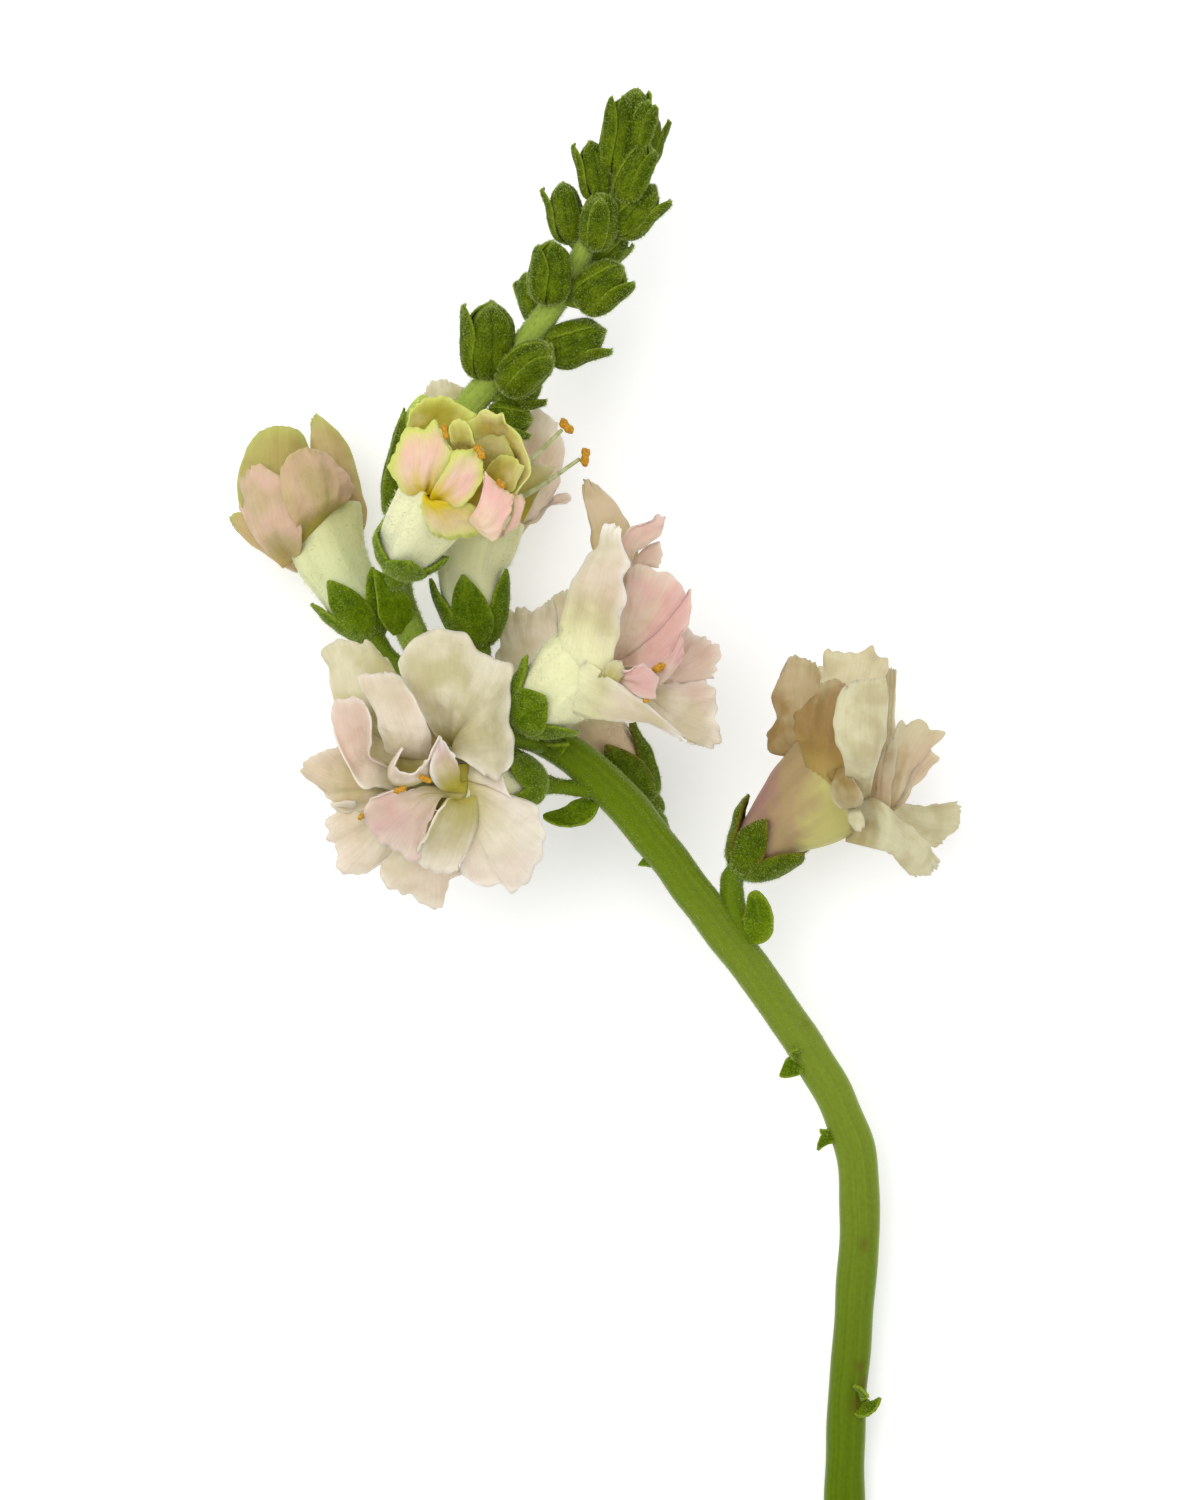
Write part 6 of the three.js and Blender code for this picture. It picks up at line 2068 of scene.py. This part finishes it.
# The half-open bloom furthest left, hooded, its lobes tan with lime rims.
HOODED_BLOOM = Bloom(
    number=6,
    stalk=((-24, 9, 20.6, 1.6), (-29.1, 12, 19.4, 1.3), (-31.8, 14.1, 18.4, 1.3)),
    calyx=Calyx((-33.9, 16.9, 17.4, 1.6), (-39, 26.1, 14.6), length=9.4, radius=3.9, opening=4.9, turn=64),
    tube=((-40.4, 29.1, 13.8, 5.4), (-42.3, 35.1, 12, 6.5)),
    petals=(
        Petal((-50.7, 30.8, 11, -49.8, 37.5, 4, -48.3, 39, 0.9), (-46.5, 38.2, 0.8, -45, 36.8, 0.9), (-45, 30, 11,
          -44.2, 33, 4, -44.2, 35.2, 1), Tone.TAN_LIME, 0.2, 0.1),
        Petal((-39.8, 37.5, 12, -42.3, 42, 12, -43.5, 45.3, 12, -43.6, 48, 12), (-43.4, 49.9, 12, -42.8, 50.6, 12,
          -41.9, 50.1, 12), (-35.7, 33, 12, -35.1, 36, 12, -35.9, 38.7, 12, -36.6, 42.1, 12, -37.9, 45.6, 12,
          -39.4, 47.9, 12), Tone.TAN_LIME, 1.5, 0.4, 0.15),
        Petal((-45.6, 26.7, 12, -48, 27.9, 11, -51.3, 30.1, 10.5, -54.4, 32.5, 10, -55.4, 34, 10),
          (-55.9, 35.1, 10), (-45, 29.1, 14, -48.8, 31.8, 13, -51.6, 34, 11.5, -53.5, 35.5, 10.5, -54.6, 35.9, 10),
          Tone.TAN_LIME, 1.0, 0.3, 0.1),
        Petal((-49.8, 31.5, 12, -52.5, 34.5, 13, -54, 36.8, 13, -54.6, 39, 13, -54.3, 42, 13.5, -53.5, 44.5, 14),
          (-52.5, 46.4, 14.5, -51, 48, 15, -49.4, 48.6, 15, -47.9, 48.7, 15, -46.5, 48.5, 15, -45, 47.8, 14.5),
          (-43.2, 34.5, 14, -42, 39, 15, -42.9, 42.8, 15, -44.1, 45.8, 14.5), Tone.HOOD, 3.5, 0.25, 0.08),
        Petal((-47.7, 27.3, 15, -50.7, 30.3, 14, -52.8, 33.3, 12, -54, 36.3, 11.5), (-54.3, 38.2, 12,
          -53.7, 41.2, 15, -51.8, 42.8, 17.5, -49.2, 42, 19), (-45, 29.1, 19, -44.7, 32.2, 20.5, -45.6, 36.8, 21,
          -47.1, 39.8, 20.5), Tone.PEACH, 2.0, 0.4, hug=True),
        Petal((-45, 30.3, 19, -45.6, 33.3, 21, -47.2, 37.5, 22, -47.7, 42, 21), (-46.8, 44.1, 20, -45, 45.1, 19,
          -43.6, 45.3, 18.5, -41.7, 44.9, 17.5, -40.4, 44, 17), (-40.5, 35.7, 20.5, -37.8, 37.5, 18,
          -36.9, 39.3, 16.5, -38.4, 41.5, 16), Tone.SALMON, 1.6, 0.4, hug=True),
    ),
    style=BloomStyle.HOODED,
)

# The youngest bloom, just opening, its lobes curled in, pink with yellow throats and lime rims.
YOUNGEST_BLOOM = Bloom(
    number=7,
    stalk=((-29.4, 21.6, 20.8, 1.7), (-30.6, 23.4, 24.2, 1.5), (-30.9, 24.9, 25.8, 1.5)),
    calyx=Calyx((-30.1, 26.7, 27.4, 1.8), (-26.7, 34.2, 32.6), length=6.6, radius=4.1, opening=5.2, turn=40,
                broad=56),
    tube=((-24.9, 36, 34, 5.7), (-22.5, 39, 36.2, 6.2)),
    petals=(
        Petal((-26.2, 37.9, 42.4, -26.4, 36.9, 42.6, -26.6, 35.7, 42, -25.9, 34.1, 41), (-25, 32.4, 40,
          -23.8, 31.5, 39.5, -22.5, 31.3, 39.5, -20.4, 31.5, 39.5, -18.3, 31.8, 39.5), (-24.3, 37, 43.2,
          -21.9, 36.6, 43.2, -19.8, 36.6, 42.8, -17.7, 35.4, 42, -16.5, 33.3, 40), Tone.LIP, 0.6, 0.3, 0.15),
        Petal((-25.8, 42, 36, -28.2, 44.2, 37, -28.8, 47.5, 38, -28.5, 49.5, 38.5), (-27.6, 50.9, 38.5,
          -26.7, 51.6, 38.5, -25.5, 52.3, 38.5, -24.4, 52.5, 38.5, -22.6, 52.4, 38.5, -20.4, 51.1, 38.5),
          (-21.8, 42.8, 37, -20.4, 46.5, 39, -18.9, 48.8, 39.5, -18.4, 49.9, 39), Tone.OLIVE, -1.2, 0.4, 0.15),
        Petal((-25.5, 34.5, 37, -24.6, 40.5, 38.5, -23.1, 46.5, 39), (-19.5, 48.8, 39.5, -15, 48, 39),
          (-17.7, 32.2, 37, -14.1, 36.8, 38.5, -12.6, 43.5, 39), Tone.AMBER, 0.4, 0.2, 0.1),
        Petal((-19.5, 42, 37, -18.3, 45, 38.5, -18.9, 47.1, 40, -19.5, 48.8, 41), (-18.4, 49.6, 41.5,
          -17.2, 50.5, 42, -16.3, 50.1, 42, -15.4, 49.6, 42, -14.5, 49.9, 42, -13.8, 49, 42, -13.2, 48.1, 41.5,
          -12.2, 46.8, 41.5, -11.2, 45.3, 41, -10.7, 43, 41, -10.5, 41.2, 41), (-16.5, 40.5, 37, -14.2, 38.7, 39.5,
          -12.9, 37.8, 41, -11.8, 39, 41.5), Tone.AMBER, -2.0, 0.4, 0.15),
        Petal((-16.9, 41.4, 40, -16.2, 42.6, 41), (-15, 43.6, 41.5, -13.7, 43.8, 41.5, -12.4, 43, 41.5),
          (-15, 39.4, 40, -13.2, 38.2, 41, -12.2, 39.9, 41.5, -11.2, 42.1, 41.5), Tone.AMBER, 0.5, 0.2, 0.1),
        Petal((-15, 31.5, 39, -13.8, 33, 40, -12.9, 35.2, 41, -12.9, 37.4, 41), (-11.8, 37.9, 40.5),
          (-14.1, 32.4, 39, -12.4, 33.1, 39.5, -11.8, 34.6, 40, -11.1, 36.8, 40), Tone.ROSE, 0.5, 0.2, 0.1),
        Petal((-21.3, 44.4, 42, -22.2, 45.8, 45, -22.3, 47.4, 46), (-21.8, 48.6, 46.3, -21, 48.9, 46.3,
          -20.1, 48.6, 46), (-18.9, 44.5, 42, -18.6, 45.3, 44, -18.9, 46.8, 45.5, -19.5, 48.1, 46), Tone.OLIVE,
          0.6, 0.2, 0.1),
        Petal((-27, 37.5, 38, -29.2, 38.4, 39, -30.3, 39.6, 40, -31.2, 40.8, 40.5, -31.7, 41.9, 41),
          (-30.9, 43.5, 42, -30.1, 44.8, 42.5, -29.7, 46, 42.5, -29.2, 47.3, 42.5, -28.2, 47.7, 43, -27.3, 47.8, 43,
          -25.8, 47.6, 43.5, -24.3, 48.9, 43.5, -23.6, 47.3, 44), (-25.2, 37.9, 40, -23.7, 39.6, 43,
          -22.1, 42, 44.5, -21.7, 44.1, 44.5, -22.8, 45.4, 44.3), Tone.PINK_YELLOW, 1.5, 0.4),
        Petal((-25.2, 37.5, 42, -23.7, 40.2, 45, -22.5, 42.3, 46, -21.7, 44.2, 46), (-20.4, 44.4, 46,
          -19.2, 44.5, 45.5, -17.8, 44.5, 45, -17.4, 42.4, 45), (-24, 36.3, 41, -22.2, 35.9, 42.5, -20.7, 36, 43.5,
          -18.3, 38.4, 44.5, -17.1, 40.7, 45), Tone.PINK_YELLOW, 0.8, 0.3, 0.15),
        Petal((-19.5, 34.2, 41, -18.3, 35.7, 43, -17.4, 37.9, 44.5, -17.2, 40, 45), (-16.9, 41.2, 45,
          -15.2, 39.6, 44.5, -13.9, 38.4, 44, -12.8, 37.3, 43.5), (-18.9, 33.3, 41, -17.2, 31.8, 42,
          -16.1, 30.9, 42, -15.2, 31.3, 42, -14.4, 33.3, 42.5, -13.2, 35.5, 43), Tone.ROSE, 1.0, 0.3, 0.15),
    ),
    stamens=(
        Stamen((-22.9, 47.1, 45.4), (1.2, 0.6, 0.6), -75),
        Stamen((-17.8, 44.1, 46.2), (1.2, 0.7, 0.6), -60),
        Stamen((-14.7, 39.4, 45.4), (0.8, 0.6, 0.5), -45),
    ),
    style=BloomStyle.YOUNG,
    ribs=0.08,
    fuzz=1800,
)

BLOOMS = (LOWEST_BLOOM, BLOOM_BEHIND_STALK, FRONT_BLOOM, BLOOM_AT_BEND, BLOOM_WITH_STAMENS, HOODED_BLOOM,
          YOUNGEST_BLOOM)


def main() -> None:
    """Builds the stem's pieces in order, and then the studio."""
    logging.basicConfig(level=logging.INFO, format="%(message)s")
    finishes, green, velvet, fringe, pale = Finishes(), Down(0.045), Down(0.045), Down(0.04), Down(0.03)
    for bloom in BLOOMS:
        bloom.build(finishes, green, pale)
    Stem(STALK, BUDS, BRACTS, SCARS).build(finishes, BLOOMS, velvet, fringe)
    dress(green.build("calyx_down"), finishes.of(LEAF_DOWN), Slot.CALYX)
    dress(velvet.build("bud_down"), finishes.of(LEAF_DOWN), Slot.CALYX)
    dress(fringe.build("stalk_down"), finishes.of(STALK_DOWN), Slot.STALK)
    dress(pale.build("pale_down"), finishes.of(PALE_DOWN), Slot.PETAL)
    Studio().build()
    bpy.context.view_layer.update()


if __name__ == "__main__":
    main()
